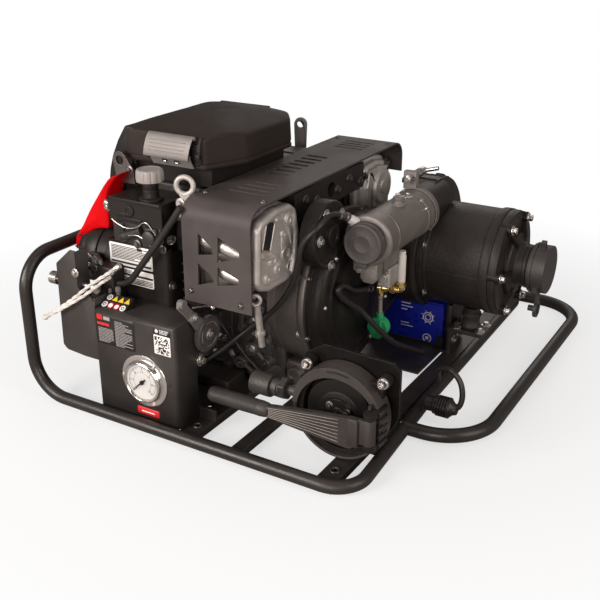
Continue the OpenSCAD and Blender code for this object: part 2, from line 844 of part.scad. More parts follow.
module drain_valve() color("#1b9a55") union() {
  cyl_z(114, 121.6, 112, -58, 6);
  cyl_y(-68, -52, 112, 98, 17);
  box(104, 120, -74, -67.5, 82, 114);
  cyl_z(78, 84, 112, -58, 3);
}

module pump_mount() color("#24201f") union() {
  y0 = 66;
  y1 = 118;
  cyl_z(62, 99.4, 216, 92, 14);
  box(184, 246, y0, y1, 56, 62.5);
  box(184, 190, y0, y1, bar_top + gap, 57);
  box(172, 190, y0, y1, bar_top + gap, 17);
  for (y = [76, 108]) cyl_z(62, 70, 196, y, 6);
}

// ---------------------------------------------------------------- panel
panel_t = 3;
throttle_y = -310;
throttle_z = 147;
choke_y = -366;
choke_z = 206;

// left wing of the panel: [x, z]
panel_wing = [[-280, 102], [-272, 96], [-237, 92], [panel_x0 + 1, 92], [panel_x0 + 1, 196],
  [-214, 200], [-237, 200], [-237, 264], [-246, 264], [-277, 236]];

module control_panel() color("#423a36") difference() {
  union() {
    box(panel_x0, panel_x1, panel_y, panel_y + panel_t, 14, panel_z);
    // right side plate
    box(panel_x1 - panel_t, panel_x1, panel_y, -330.6, 24, 170);
    box(panel_x1 - panel_t, panel_x1, -332, -325, 31, 170);
    box(panel_x1 - panel_t, panel_x1, -330, -292, 118, 170);
    // top, wing and left flanges
    box(panel_x0, panel_x1 - 16, panel_y, -319, panel_z - panel_t, panel_z);
    prism_y(panel_y, panel_y + panel_t, panel_wing);
    box(-240, -237, panel_y, -352, 96, 262);
    box(panel_x0, panel_x0 + panel_t, panel_y, -331, 24, 170);
  }
  // gauge hole and its two screw holes
  on_gauge(-390, -370, 33);
  cyl_y(-390, -370, gauge_x - 46, gauge_z + 4, 2);
  cyl_y(-390, -370, gauge_x + 47, gauge_z + 6, 2);
  // slots in the right side
  for (z = [90 : 6 : 108]) box(-66, -50, -372, -340, z, z + 3);
  // tall opening with a round lower end
  cyl_y(-390, -370, -222, 182, 8);
  box(-230, -214, -390, -370, 182, 230);
  cyl_x(-65, -50, throttle_y, throttle_z, 6.2);
  cyl_x(-245, -230, choke_y, choke_z, 5.2);
}

module pressure_gauge() color("#cfc8c0") difference() {
  union() {
    on_gauge(panel_y - 3, panel_y - gap, 42.5);
    on_gauge(panel_y - 12, panel_y - 2, 32);
    on_gauge(panel_y - 1, -346, 31.5);
    cyl_y(-347, -334, gauge_x, gauge_z - 12, 7);
    for (angle = [35, 155, 275])
      translate([gauge_x, 0, gauge_z]) rotate([0, angle, 0])
        cyl_y(panel_y - 4.6, panel_y - 2, 37.3, 0, 3);
  }
  on_gauge(panel_y - 13, panel_y - 6, 28);
  cyl_y(-340, -330, gauge_x, gauge_z - 12, 3);
}

module gauge_needle() color("#111111") union() {
  on_gauge(panel_y - 9, panel_y - 6.6, 3.4);
  translate([gauge_x, panel_y - 8, gauge_z]) rotate([0, -41, 0])
    prism_y(-0.7, 0.7, [[-24, -0.3], [-24, 0.3], [9, 1.6], [9, -1.6]]);
}

// bent throttle arm: [y, z]
throttle_arm = [[-330, 160], [-352, 186], [-374, 212], [-366, 219], [-344, 194], [-316, 170]];

module throttle_disc() color("#6e6863") union() {
  difference() {
    cyl_x(-56 + gap, -46, throttle_y, throttle_z, 28);
    // notches around the front or rear half of the rim
    for (angle = [90 : 15 : 270])
      translate([0, throttle_y, throttle_z]) rotate([angle, 0, 0]) box(-57, -52, -1, 1, 24, 30);
  }
  cyl_x(-46.5, -42, throttle_y, throttle_z, 8);
  cyl_x(-72, -55, throttle_y, throttle_z, 6);
  prism_x(-52, -46, throttle_arm);
  cyl_x(-54, -44, -369, 216, 8);
}

module choke_knob() color("#bdb6ae") union() {
  cyl_x(-302, -288, choke_y, choke_z, 10);
  cyl_x(-289, -214, choke_y, choke_z, 5);
  cyl_x(-216, -211, choke_y, choke_z, 9);
}

// ---------------------------------------------------------------- battery
battery_x0 = 20;
battery_x1 = 168;
battery_y0 = 82;
battery_y1 = 147;
tray_z = bar_top + gap;
tray_floor = tray_z + 2;

module battery() color("#0b1a6e") union() {
  box(battery_x0, battery_x1, battery_y0, battery_y1, tray_floor + gap, 92);
  box(battery_x0 + 2, battery_x1 - 2, battery_y0 + 2, battery_y1 - 2, 91, 95);
  for (x = [36, 90]) cyl_z(94, 96, x, 98, 6);
}

// battery outline grown by margin
module tray_block(margin, z0, z1)
  box(battery_x0 - margin, battery_x1 + margin,
    battery_y0 - margin, battery_y1 + margin, z0, z1);

module battery_tray() color("#24201f") difference() {
  tray_block(gap + 3, tray_z, 34);
  tray_block(gap, tray_floor, 40);
  box(30, 158, 70, 160, 20, 40);
}

// ---------------------------------------------------------------- hand primer
primer_front = -325;
primer_bolts = [[123, 143], [241, 143]]; // [x, z]
hinge_x = 238;
hinge_y = -345;
hinge_z0 = 56;     // ends of the hinge, then the inner faces of its two lugs
hinge_z1 = 112;
lug_z0 = 64;
lug_z1 = 104;
lever_z = 74;      // grip and fulcrum heights
lever_y = -350;
valve_y = -304;

// bracket outline: [x, z]
bracket_outline = [[170, 12.4], [207, 12.4], [207, 24], [226, 24], [258, 84], [258, 156],
  [248, 166], [140, 170], [108, 148], [108, 30], [170, 24]];

module primer_bracket() color("#1b1918") difference() {
  union() {
    prism_y(-295, -290, bracket_outline);
    box(right_bar_x0, right_bar_x1, -290.5, -262, bar_top + gap, 17);
    for (p = primer_bolts) cyl_y(-297.5, -294, p[0], p[1], 7);
  }
  on_primer(-300, -280, 30);
  cyl_y(-300, -280, 241, 100, 3.3);
}

module primer_body() color("#171514") difference() {
  union() {
    on_primer(primer_front + 3, -295 - gap, primer_r - 4);
    difference() {
      on_primer(primer_front, primer_front + 12, primer_r);
      on_primer(primer_front - 1, primer_front + 14, primer_r - 6);
    }
    for (p = primer_bolts) {
      cyl_y(-312, -298, p[0], p[1], 9);
      cyl_y(-318, -311, p[0], p[1], 6, $fn = 6);
    }
    box(120, 150, -312, -300, 118, 140);
    box(206, 240, -312, -300, 118, 140);
    // hinge post at the right, with a lug above and below the lever and a pin
    box(229.4, 248, -335.5, -310, hinge_z0, hinge_z1);
    difference() {
      cyl_z(hinge_z0, hinge_z1, hinge_x, hinge_y, 9);
      cyl_z(lug_z0, lug_z1, hinge_x, hinge_y, 16);
    }
    box(229, 247, hinge_y, -330, hinge_z0, lug_z0 - gap);
    box(229, 247, hinge_y, -330, lug_z1 + gap, hinge_z1);
    cyl_z(hinge_z0, hinge_z1, hinge_x, hinge_y, 3);
  }
  on_primer(primer_front - 2, -303, primer_r - 14);
  on_primer(-310, -290, 20);
  // slot in the arch
  translate([primer_x, 0, primer_z]) for (angle = [-16 : 8 : 16]) rotate([0, angle, 0])
    box(-5.2, 5.2, primer_front - 2, primer_front + 3, primer_r - 5.2, primer_r - 2.4);
}

module primer_diaphragm() color("#1f1d1c") union() {
  on_primer(-320, -316, 50);
  on_primer(-324, -305, 22);
  on_primer(-343.2, -316, 5);
  // three small studs, [x, z] from the axis
  for (p = [[14, 8], [-14, 8], [0, -15]])
    cyl_y(-326, -320, primer_x + p[0], primer_z + p[1], 4);
}

module primer_lever() color("#2d2927") difference() {
  z0 = lug_z0 + gap;
  z1 = lug_z1 - gap;
  union() {
    // fan shaped arm and its ribs
    prism_y(-356, -345, [[80, 65], [80, 83], [225, z1], [225, z0], [213, 55]]);
    for (i = [0 : 5]) lever_rib(i);
    // grip
    cyl_x(-18, 82, lever_y, lever_z, 11.5);
    // hinge barrel
    cyl_z(z0, z1, hinge_x, hinge_y, 8.6);
    box(224, 239, -353.4, hinge_y, z0, z1);
    cyl_x(-20, -17, lever_y, lever_z, 9);
  }
  cyl_z(60, 110, hinge_x, hinge_y, 3.25);
}
module lever_rib(i) prism_y(-358.5, -355,
  [[82, 67 + 2.7 * i], [82, 68.2 + 2.7 * i], [210, 63.5 + 7 * i], [210, 62 + 7 * i]]);

module primer_valve() color("#3a3634") union() {
  cyl_x(28, 60, valve_y, 86, 17);
  cyl_x(59, 77, valve_y, 88, 11);
  cyl_x(76, 88, valve_y, 88, 15, $fn = 6);
  cyl_x(87, 110.6, valve_y, 88, 8);
  cyl_y(valve_y, -262, 40, 86, 10);
  cyl_z(50, 80, 40, -262, 9);
}

// ---------------------------------------------------------------- hoses and cables
// centre line points: [x, y, z]
gauge_hose = [[99, -160, 312], [92, -190, 322], [91, -236, 312], [70, -240, 288],
  [58, -235, 234], [24, -233, 176], [-30, -240, 128], [-70, -290, 90], [-112, -328, 72]];
priming_hose = [[97, -66, 165], [97, -120, 180], [97, -170, 206], [97, -180, 204],
  [97, -164, 184], [106, -116, 146], [122, -92, 112], [140, -60, 76], [152, -12, 46],
  [158, 20, 28]];
plug_cable = [[290, -138, 36], [306, -132, 40], [310, -112, 52], [290, -88, 64],
  [262, -74, 62], [236, -62, 42]];
engine_cable = [[-70, -335, 346], [-84, -335, 326], [-110, -335, 292], [-150, -335, 242],
  [-172, -335, 216], [-190, -334, 206], [-206, -332, 206]];

module hoses() color("#23201f") {
  hose(gauge_hose, 8);
  hose(priming_hose, 9);
}

module wiring() color("#1c1a19") {
  // plug at the right side rail: [x0, x1, radius]
  union() {
    for (part = [[244, 263, 12], [262, 285, 16], [284, 293, 11]])
      cyl_x(part[0], part[1], -138, 36, part[2]);
    hose(plug_cable, 8);
  }
  // in front of the front shroud
  hose(engine_cable, 8.5);
}

base_frame();
right_handle();
engine_plate();
crankcase();
cylinders();
heads();
port_cover_front();
port_cover_rear();
muffler();
heat_guard();
crankshaft();
fan();
fan_housing();
red_shroud();
front_shroud();
filler_box();
filler_cap();
air_base();
air_element();
air_cover();
latch_front();
lifting_eyes();
bell_housing();
belt_case();
belt_cover();
drive_pulley();
pump_pulley();
belt();
bearing_housing();
pump_shaft();
impellers();
diffusers();
volute();
barrel();
suction_head();
suction_cap();
tether();
discharge_body();
discharge_cap();
check_flap();
clamp_band();
t_handle();
drain_fitting();
drain_valve();
control_panel();
pressure_gauge();
gauge_needle();
throttle_disc();
choke_knob();
battery();
battery_tray();
pump_mount();
primer_bracket();
primer_body();
primer_diaphragm();
primer_lever();
primer_valve();
flange_bolts();
hoses();
wiring();
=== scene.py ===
"""Engine-driven pump on a tubular base frame.

Pieces are modelled in millimetres and scaled to metres when they are finished. The machine
stands on z = 0 with +Z up. Its front, with the instrument panel, looks towards -Y; the engine
lies towards -X (left) and the pump barrel towards +X (right).
"""
import math
import random
import bpy, bmesh
from mathutils import Vector, Matrix

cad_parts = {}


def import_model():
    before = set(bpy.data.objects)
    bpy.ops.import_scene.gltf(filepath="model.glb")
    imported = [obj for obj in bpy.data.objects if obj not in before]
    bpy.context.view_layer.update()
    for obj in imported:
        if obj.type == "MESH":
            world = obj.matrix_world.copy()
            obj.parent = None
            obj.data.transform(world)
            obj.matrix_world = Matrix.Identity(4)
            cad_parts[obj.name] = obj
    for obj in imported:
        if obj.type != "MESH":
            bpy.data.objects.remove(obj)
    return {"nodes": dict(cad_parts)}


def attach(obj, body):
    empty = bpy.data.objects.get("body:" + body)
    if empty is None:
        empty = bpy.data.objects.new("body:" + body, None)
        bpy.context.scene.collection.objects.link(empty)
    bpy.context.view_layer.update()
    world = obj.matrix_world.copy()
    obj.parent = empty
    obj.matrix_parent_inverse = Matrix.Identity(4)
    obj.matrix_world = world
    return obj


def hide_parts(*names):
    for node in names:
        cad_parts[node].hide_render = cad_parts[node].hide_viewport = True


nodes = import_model()["nodes"]
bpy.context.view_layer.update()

MM = 0.001
RIGHT, LEFT = (1, 0, 0), (-1, 0, 0)
FRONT, BACK = (0, -1, 0), (0, 1, 0)
UP, DOWN = (0, 0, 1), (0, 0, -1)

# axes that run along x, as (y, z)
CRANK = (-88, 167)
PUMP = (105, 187)
THROTTLE = (-310, 147)
STARTER = (-262, 222)
# axes that run along y, as (x, z)
GAUGE = (-118.0, 81.0)
PRIMER = (178, 84)
DELIVERY = (129, 275)
# upright axis of the filler cap, as (x, y)
FILLER = (-143, -309)
# y of the faces that carry plates and labels
PANEL_FACE = -380.0
SHROUD_FACE = -318.0


# ---------------------------------------------------------------- shader nodes
def feed(tree, target, inputs):
    """link sockets and set plain values"""
    for key, value in inputs.items():
        if isinstance(value, bpy.types.NodeSocket):
            tree.links.new(value, target.inputs[key])
        else:
            target.inputs[key].default_value = value


def node(tree, kind, inputs, **settings):
    made = tree.nodes.new("ShaderNode" + kind)
    for key, value in settings.items():
        setattr(made, key, value)
    feed(tree, made, inputs)
    return made


def noise(tree, **inputs):
    return node(tree, "TexNoise", inputs).outputs["Fac"]


def map_range(tree, value, from_min=0.0, from_max=1.0, to_min=0.0, to_max=1.0):
    return node(tree, "MapRange", {"From Min": from_min, "From Max": from_max, "To Min": to_min,
                                   "To Max": to_max, "Value": value}).outputs["Result"]


def mix_color(tree, factor, a, b):
    inputs = {"Factor": factor, "A": a, "B": b}
    return node(tree, "Mix", inputs, data_type="RGBA").outputs["Result"]


def ramp(tree, factor, *stops):
    made = node(tree, "ValToRGB", {"Fac": factor})
    for element, (position, color) in zip(made.color_ramp.elements, stops):
        element.position = position
        element.color = (*color, 1.0)
    return made.outputs["Color"]


def scaled(color, factor):
    return tuple(min(1.0, max(0.0, c * factor)) for c in color)


def new_material(name):
    material = bpy.data.materials.new("mat_" + name)
    material.use_nodes = True
    return material, material.node_tree, material.node_tree.nodes["Principled BSDF"]


MATERIALS = {}


def surface(name, color, rough=0.5, metal=0.0, vary=0.2, vary_scale=16.0, grain=0.15,
            grain_scale=900.0, brushed=None, lumps=0.0, lumps_scale=140.0, edge=0.0008, wear=0.0,
            wear_color=(0.45, 0.42, 0.4), coat=0.0, specular=0.5, dust=0.0, sheen=0.0,
            tint=None, tint_amount=0.0, tint_scale=6.0):
    """Clouded colour with tint, worn edges, dust on top, fine grain and coarse lumps.
    edge is the shaded edge radius in metres; brushed stretches the grain per axis."""
    material, tree, shader = new_material(name)
    place = node(tree, "TexCoord", {}).outputs["Object"]
    mapped = node(tree, "Mapping", {"Vector": place}).outputs["Vector"]
    cloud = noise(tree, Vector=mapped, Scale=vary_scale, Detail=6.0, Roughness=0.62)
    paint = ramp(tree, cloud, (0.3, scaled(color, 1.0 - vary)), (0.7, scaled(color, 1.0 + vary)))
    stretched = mapped
    if brushed:
        stretched = node(tree, "Mapping", {"Vector": place, "Scale": brushed}).outputs["Vector"]
    fine = noise(tree, Vector=stretched, Scale=grain_scale, Detail=3.0)
    if tint:
        patches = noise(tree, Vector=mapped, Scale=tint_scale, Detail=4.0)
        amount = map_range(tree, patches, from_min=0.45, from_max=0.7, to_max=tint_amount)
        paint = mix_color(tree, amount, paint, (*tint, 1.0))
    normal = node(tree, "Bevel", {"Radius": edge}, samples=4).outputs["Normal"]
    if wear > 0:
        # a wider bevel leans away from the true normal only near edges
        flat = node(tree, "NewGeometry", {}).outputs["Normal"]
        leaning = node(tree, "Bevel", {"Radius": edge * 1.6}, samples=4).outputs["Normal"]
        match = node(tree, "VectorMath", {0: flat, 1: leaning}, operation="DOT_PRODUCT")
        ragged = noise(tree, Vector=mapped, Scale=130.0, Detail=5.0)
        total = node(tree, "Math", {0: ragged, 1: 0.16, 2: match.outputs["Value"]},
                     operation="MULTIPLY_ADD").outputs["Value"]
        mask = map_range(tree, total, from_min=1.055, from_max=0.96, to_max=wear)
        paint = mix_color(tree, mask, paint, (*wear_color, 1.0))
    if dust > 0:
        facing_way = node(tree, "NewGeometry", {}).outputs["Normal"]
        upward = node(tree, "SeparateXYZ", {"Vector": facing_way}).outputs["Z"]
        amount = map_range(tree, upward, from_min=0.3, from_max=1.0, to_max=dust)
        amount = node(tree, "Math", {0: amount, 1: cloud}, operation="MULTIPLY").outputs["Value"]
        paint = mix_color(tree, amount, paint, (0.36, 0.33, 0.3, 1))
    shine = map_range(tree, cloud, from_min=0.3, from_max=0.7,
                      to_min=max(0.04, rough - 0.08), to_max=min(1.0, rough + 0.09))
    grain_bump = node(tree, "Bump", {"Strength": grain, "Distance": 0.0006, "Height": fine})
    if lumps > 0:
        coarse = noise(tree, Vector=mapped, Scale=lumps_scale, Detail=4.0)
        normal = node(tree, "Bump", {"Strength": lumps, "Distance": 0.002, "Height": coarse,
                                     "Normal": normal}).outputs["Normal"]
    feed(tree, grain_bump, {"Normal": normal})
    feed(tree, shader, {"Base Color": paint, "Metallic": metal, "Roughness": shine,
                        "Normal": grain_bump.outputs["Normal"], "Specular IOR Level": specular})
    if coat:
        feed(tree, shader, {"Coat Weight": coat, "Coat Roughness": 0.12})
    if sheen:
        feed(tree, shader, {"Sheen Weight": sheen})
    material.diffuse_color = (*color, 1.0)
    MATERIALS[name] = material


def glass():
    material, tree, shader = new_material("gauge_glass")
    feed(tree, shader, {"Base Color": (1, 1, 1, 1), "Transmission Weight": 1.0,
                        "Roughness": 0.03, "IOR": 1.12})
    shine = map_range(tree, noise(tree, Scale=40), to_min=0.015, to_max=0.05)
    feed(tree, shader, {"Roughness": shine})
    MATERIALS["gauge_glass"] = material


# ---------------------------------------------------------------- materials
def powder_coats():
    surface("frame_powder", (0.020, 0.0163, 0.0145), rough=0.36, grain=0.22, grain_scale=1500,
            lumps=0.12, lumps_scale=420, wear=0.12, dust=0.03)
    surface("panel_powder", (0.036, 0.031, 0.028), rough=0.46, grain=0.35, grain_scale=1300,
            lumps=0.10, lumps_scale=520, wear=0.10, dust=0.03)
    surface("guard_powder", (0.060, 0.051, 0.050), rough=0.50, grain=0.35, grain_scale=1300,
            wear=0.25, wear_color=(0.2, 0.18, 0.17), tint=(0.085, 0.07, 0.064),
            tint_amount=0.35, dust=0.05, specular=0.28)
    surface("arch_powder", (0.046, 0.039, 0.036), rough=0.42, grain=0.35, grain_scale=1300,
            lumps=0.10, lumps_scale=520, wear=0.12, dust=0.03)
    surface("primer_paint", (0.040, 0.033, 0.030), rough=0.44, grain=0.4, grain_scale=1100,
            lumps=0.2, lumps_scale=320, wear=0.14, wear_color=(0.12, 0.1, 0.095), dust=0.03,
            specular=0.4)
    surface("bracket_powder", (0.0050, 0.0040, 0.0036), rough=0.36, grain=0.3, grain_scale=1300,
            lumps=0.12, lumps_scale=420, wear=0.10, dust=0.01, specular=0.22)


def castings():
    surface("cast_dark", (0.060, 0.054, 0.050), metal=0.25, grain=0.6, grain_scale=620,
            lumps=0.35, lumps_scale=230, wear=0.35, wear_color=(0.2, 0.18, 0.17), dust=0.05,
            vary=0.35)
    surface("cast_engine", (0.085, 0.077, 0.071), rough=0.48, metal=0.5, grain=0.65,
            grain_scale=640, lumps=0.4, lumps_scale=240, wear=0.5, wear_color=(0.30, 0.28, 0.26),
            dust=0.05, vary=0.35)
    surface("cast_black", (0.0215, 0.0175, 0.0158), rough=0.42, grain=0.5, grain_scale=760,
            lumps=0.3, lumps_scale=260, wear=0.16, wear_color=(0.14, 0.12, 0.115), dust=0.04,
            vary=0.3, specular=0.34)
    surface("drum_machined", (0.15, 0.134, 0.125), rough=0.44, metal=0.75, grain=0.4,
            grain_scale=700, brushed=(1.0, 0.06, 0.06), wear=0.3, wear_color=(0.5, 0.47, 0.45),
            vary=0.25)
    surface("cast_head", (0.17, 0.155, 0.145), rough=0.46, metal=0.7, grain=0.6,
            grain_scale=640, lumps=0.3, wear=0.4, vary=0.3)
    surface("bare_alloy", (0.56, 0.53, 0.50), rough=0.36, metal=0.82, grain=0.4,
            grain_scale=820, lumps=0.25, lumps_scale=210, wear=0.4, wear_color=(0.82, 0.79, 0.76),
            vary=0.14, vary_scale=22, tint=(0.42, 0.38, 0.35), tint_amount=0.4)
    surface("alloy_cast", (0.47, 0.44, 0.41), rough=0.42, metal=0.72, grain=0.7,
            grain_scale=560, lumps=0.45, lumps_scale=190, wear=0.4, wear_color=(0.7, 0.67, 0.64),
            vary=0.16, tint=(0.3, 0.27, 0.25), tint_amount=0.4)
    surface("grey_cast", (0.20, 0.183, 0.172), rough=0.55, metal=0.35, grain=0.8,
            grain_scale=520, lumps=0.6, lumps_scale=170, wear=0.4, wear_color=(0.4, 0.37, 0.35),
            vary=0.25)
    surface("primer_cast", (0.0120, 0.0096, 0.0086), rough=0.40, grain=0.5, grain_scale=760,
            lumps=0.3, lumps_scale=260, wear=0.14, wear_color=(0.10, 0.09, 0.085), dust=0.02,
            specular=0.28)
    surface("alloy_bright", (0.62, 0.585, 0.55), rough=0.40, metal=0.6, grain=0.7,
            grain_scale=560, lumps=0.45, lumps_scale=190, wear=0.4, wear_color=(0.8, 0.77, 0.74),
            vary=0.16, tint=(0.42, 0.38, 0.35), tint_amount=0.35)
    surface("delivery", (0.22, 0.197, 0.183), rough=0.42, metal=0.45, grain=0.5,
            grain_scale=760, lumps=0.22, lumps_scale=200, wear=0.3, wear_color=(0.42, 0.39, 0.37),
            vary=0.14, tint=(0.13, 0.115, 0.105), tint_amount=0.35)
    surface("cap_dark", (0.066, 0.059, 0.057), metal=0.15, grain=0.6, grain_scale=700,
            lumps=0.3, wear=0.25, wear_color=(0.16, 0.145, 0.14))


def metals():
    surface("exhaust", (0.22, 0.19, 0.17), rough=0.45, metal=0.85, grain=0.3, wear=0.3,
            tint=(0.30, 0.19, 0.11), tint_amount=0.5, tint_scale=18, vary=0.25)
    surface("steel", (0.42, 0.40, 0.38), rough=0.3, metal=1.0, grain=0.25,
            brushed=(0.06, 1, 1), vary=0.15)
    surface("zinc", (0.62, 0.59, 0.56), rough=0.30, metal=1.0, grain_scale=500, vary=0.16,
            vary_scale=60, wear=0.2, wear_color=(0.85, 0.83, 0.8))
    surface("bolt_dark", (0.16, 0.148, 0.14), rough=0.34, metal=0.9, grain=0.2, wear=0.4,
            wear_color=(0.42, 0.4, 0.38))
    surface("bronze", (0.50, 0.34, 0.17), rough=0.4, metal=0.9, grain=0.5, lumps=0.3)
    surface("brass", (0.80, 0.60, 0.24), rough=0.24, metal=0.95, grain=0.2, vary=0.15,
            tint=(0.5, 0.34, 0.12), tint_amount=0.4, tint_scale=60)
    surface("gauge_steel", (0.78, 0.76, 0.74), rough=0.16, metal=1.0, grain=0.1, vary=0.06)
    surface("eye_steel", (0.50, 0.47, 0.445), rough=0.44, metal=0.45, grain=0.6,
            grain_scale=700, lumps=0.3, vary=0.16)
    surface("steel_dull", (0.20, 0.185, 0.175), rough=0.46, metal=0.5, grain=0.4, wear=0.3)
    surface("latch_grey", (0.229, 0.211, 0.201), metal=0.25, grain=0.3, vary=0.08,
            wear=0.25, wear_color=(0.5, 0.47, 0.45))
    surface("lever_grey", (0.15, 0.138, 0.132), metal=0.2, grain=0.4, wear=0.3,
            wear_color=(0.3, 0.28, 0.26), vary=0.15)


def plastics():
    surface("black_plastic", (0.0140, 0.0113, 0.0102), rough=0.36, grain=0.3, grain_scale=1900,
            wear=0.1, wear_color=(0.07, 0.06, 0.058), dust=0.03, specular=0.30)
    surface("cover_plastic", (0.0270, 0.0200, 0.0175), grain=0.38, grain_scale=1700,
            wear=0.05, wear_color=(0.06, 0.05, 0.05), dust=0.02, specular=0.18)
    # light grey for the thin fan ridges: a painted highlight along each ridge
    surface("ridge_painted_highlight", (0.34, 0.31, 0.29), rough=0.42, grain=0.3, grain_scale=1200)
    surface("grey_plastic", (0.20, 0.182, 0.17), rough=0.42, grain=0.3, grain_scale=1200,
            wear=0.2, wear_color=(0.3, 0.28, 0.26), vary=0.15)
    surface("red_plastic", (0.62, 0.0012, 0.004), rough=0.55, grain=0.10, grain_scale=1200,
            vary=0.06, vary_scale=20, edge=0.0012, specular=0.10)
    surface("green_plastic", (0.030, 0.38, 0.14), rough=0.36, grain=0.2, vary=0.18)
    surface("battery_blue", (0.010, 0.022, 0.42), rough=0.30, grain=0.12, vary=0.15,
            edge=0.0016, coat=0.2)
    surface("white_fitting", (0.62, 0.60, 0.57), rough=0.42, grain=0.3, vary=0.12)
    surface("cap_grey", (0.30, 0.275, 0.26), grain=0.35, grain_scale=1000, vary=0.12,
            wear=0.2, wear_color=(0.45, 0.42, 0.4))
    surface("steel_plastic", (0.062, 0.056, 0.054), rough=0.48, grain=0.4, grain_scale=1100,
            wear=0.25, wear_color=(0.16, 0.15, 0.14))
    # a lighter copy of the black plastic: painted light on the carburettor body; its edge wear is
    # real
    surface("plastic_painted_lit", (0.030, 0.027, 0.0255), rough=0.40, grain=0.35, grain_scale=1400,
            wear=0.25, wear_color=(0.12, 0.11, 0.105), vary=0.25)


def soft_materials():
    surface("deep_black", (0.0075, 0.0065, 0.0060), rough=0.34, grain=0.3, specular=0.4)
    surface("filter_paper", (0.72, 0.66, 0.5), rough=0.9, grain=0.5, brushed=(1, 0.05, 0.05),
            grain_scale=260)
    surface("rubber", (0.022, 0.020, 0.019), rough=0.58, grain=0.4, grain_scale=1400,
            vary=0.25, dust=0.06)
    surface("rubber_cap", (0.034, 0.030, 0.028), grain=0.4, grain_scale=1200, vary=0.25,
            dust=0.05, wear=0.15, wear_color=(0.1, 0.09, 0.085))
    surface("hose", (0.020, 0.018, 0.017), rough=0.38, grain=0.25, grain_scale=1600, vary=0.25)
    surface("cord", (0.66, 0.63, 0.59), rough=0.85, grain=0.9, sheen=0.3)


def inks():
    surface("needle", (0.012, 0.012, 0.012), rough=0.4, grain=0.05)
    surface("label_black", (0.014, 0.013, 0.013), rough=0.42, grain=0.1)
    surface("ink_white", (0.88, 0.85, 0.83), grain=0.1, vary=0.06)
    surface("ink_grey", (0.34, 0.32, 0.31), grain=0.1, vary=0.1)
    surface("ink_red", (0.62, 0.015, 0.02), rough=0.45, grain=0.1, vary=0.08)
    surface("ink_yellow", (0.80, 0.56, 0.03), rough=0.45, grain=0.1, vary=0.08)
    surface("dial", (0.80, 0.79, 0.77), grain=0.03, vary=0.02, edge=0.0002)


# material: CAD nodes that wear it
NODE_MATERIALS = {
    "frame_powder": "base_frame right_handle engine_plate battery_tray pump_mount",
    "cast_engine": "crankcase cylinders",
    "cast_head": "heads diffusers",
    "bare_alloy": "port_cover_front",
    "alloy_cast": "port_cover_rear discharge_body",
    "cast_black": "muffler belt_case belt_cover volute barrel primer_lever",
    "guard_powder": "heat_guard",
    "steel": "crankshaft drive_pulley pump_pulley pump_shaft",
    "black_plastic": "fan fan_housing front_shroud filler_box air_base",
    "red_plastic": "red_shroud",
    "grey_plastic": "filler_cap throttle_disc",
    "filter_paper": "air_element",
    "cover_plastic": "air_cover",
    "zinc": "latch_front lifting_eyes t_handle choke_knob flange_bolts",
    "drum_machined": "bell_housing",
    "rubber": "belt",
    "cast_dark": "bearing_housing primer_valve",
    "bronze": "impellers check_flap",
    "primer_cast": "suction_head primer_body",
    "rubber_cap": "suction_cap tether",
    "grey_cast": "discharge_cap clamp_band",
    "brass": "drain_fitting",
    "green_plastic": "drain_valve",
    "panel_powder": "control_panel",
    "gauge_steel": "pressure_gauge",
    "needle": "gauge_needle",
    "battery_blue": "battery",
    "bracket_powder": "primer_bracket",
    "deep_black": "primer_diaphragm",
    "hose": "hoses wiring",
}


def paint_nodes():
    for material, names in NODE_MATERIALS.items():
        for name in names.split():
            slots = nodes[name].data.materials
            slots.clear()
            slots.append(MATERIALS[material])


# ---------------------------------------------------------------- placing
# take a flat outline and its height to a plane: (x, z, h) -> (x, -h, z)
ON_FRONT = Matrix(((1, 0, 0, 0), (0, 0, -1, 0), (0, 1, 0, 0), (0, 0, 0, 1)))
# (y, z, h) -> (h, y, z)
ON_SIDE = Matrix(((0, 0, 1, 0), (1, 0, 0, 0), (0, 1, 0, 0), (0, 0, 0, 1)))


def facing(origin, axis, ref=UP):
    """matrix taking local z to axis at origin, local x towards ref"""
    z = Vector(axis).normalized()
    ref = Vector(ref)
    if abs(z.dot(ref)) > 0.99:
        ref = Vector((0, 1, 0))
    x = (ref - z * ref.dot(z)).normalized()
    matrix = Matrix((x, z.cross(x), z)).transposed().to_4x4()
    matrix.translation = Vector(origin)
    return matrix


def along_x(y, z):
    return facing((0, y, z), RIGHT)


def from_front(x, z):
    """axis at (x, z) running towards -y"""
    return Matrix(((1, 0, 0, x), (0, 0, -1, 0), (0, 1, 0, z), (0, 0, 0, 1)))


def upright(x, y):
    return Matrix.Translation((x, y, 0))


def side_point(y, z, h):
    return (h, y, z)


def front_point(x, z, h):
    return (x, -h, z)


def around(centre, radius, degrees):
    """point of a circle in the plane of centre"""
    t = math.radians(degrees)
    return centre[0] + radius * math.cos(t), centre[1] + radius * math.sin(t)


def radial(degrees):
    """unit vector in the y-z plane"""
    return (0, *around((0, 0), 1, degrees))


# ---------------------------------------------------------------- outlines
def circle(cx, cy, r, n=64):
    return [(cx + r * math.cos(2 * math.pi * i / n), cy + r * math.sin(2 * math.pi * i / n))
            for i in range(n)]


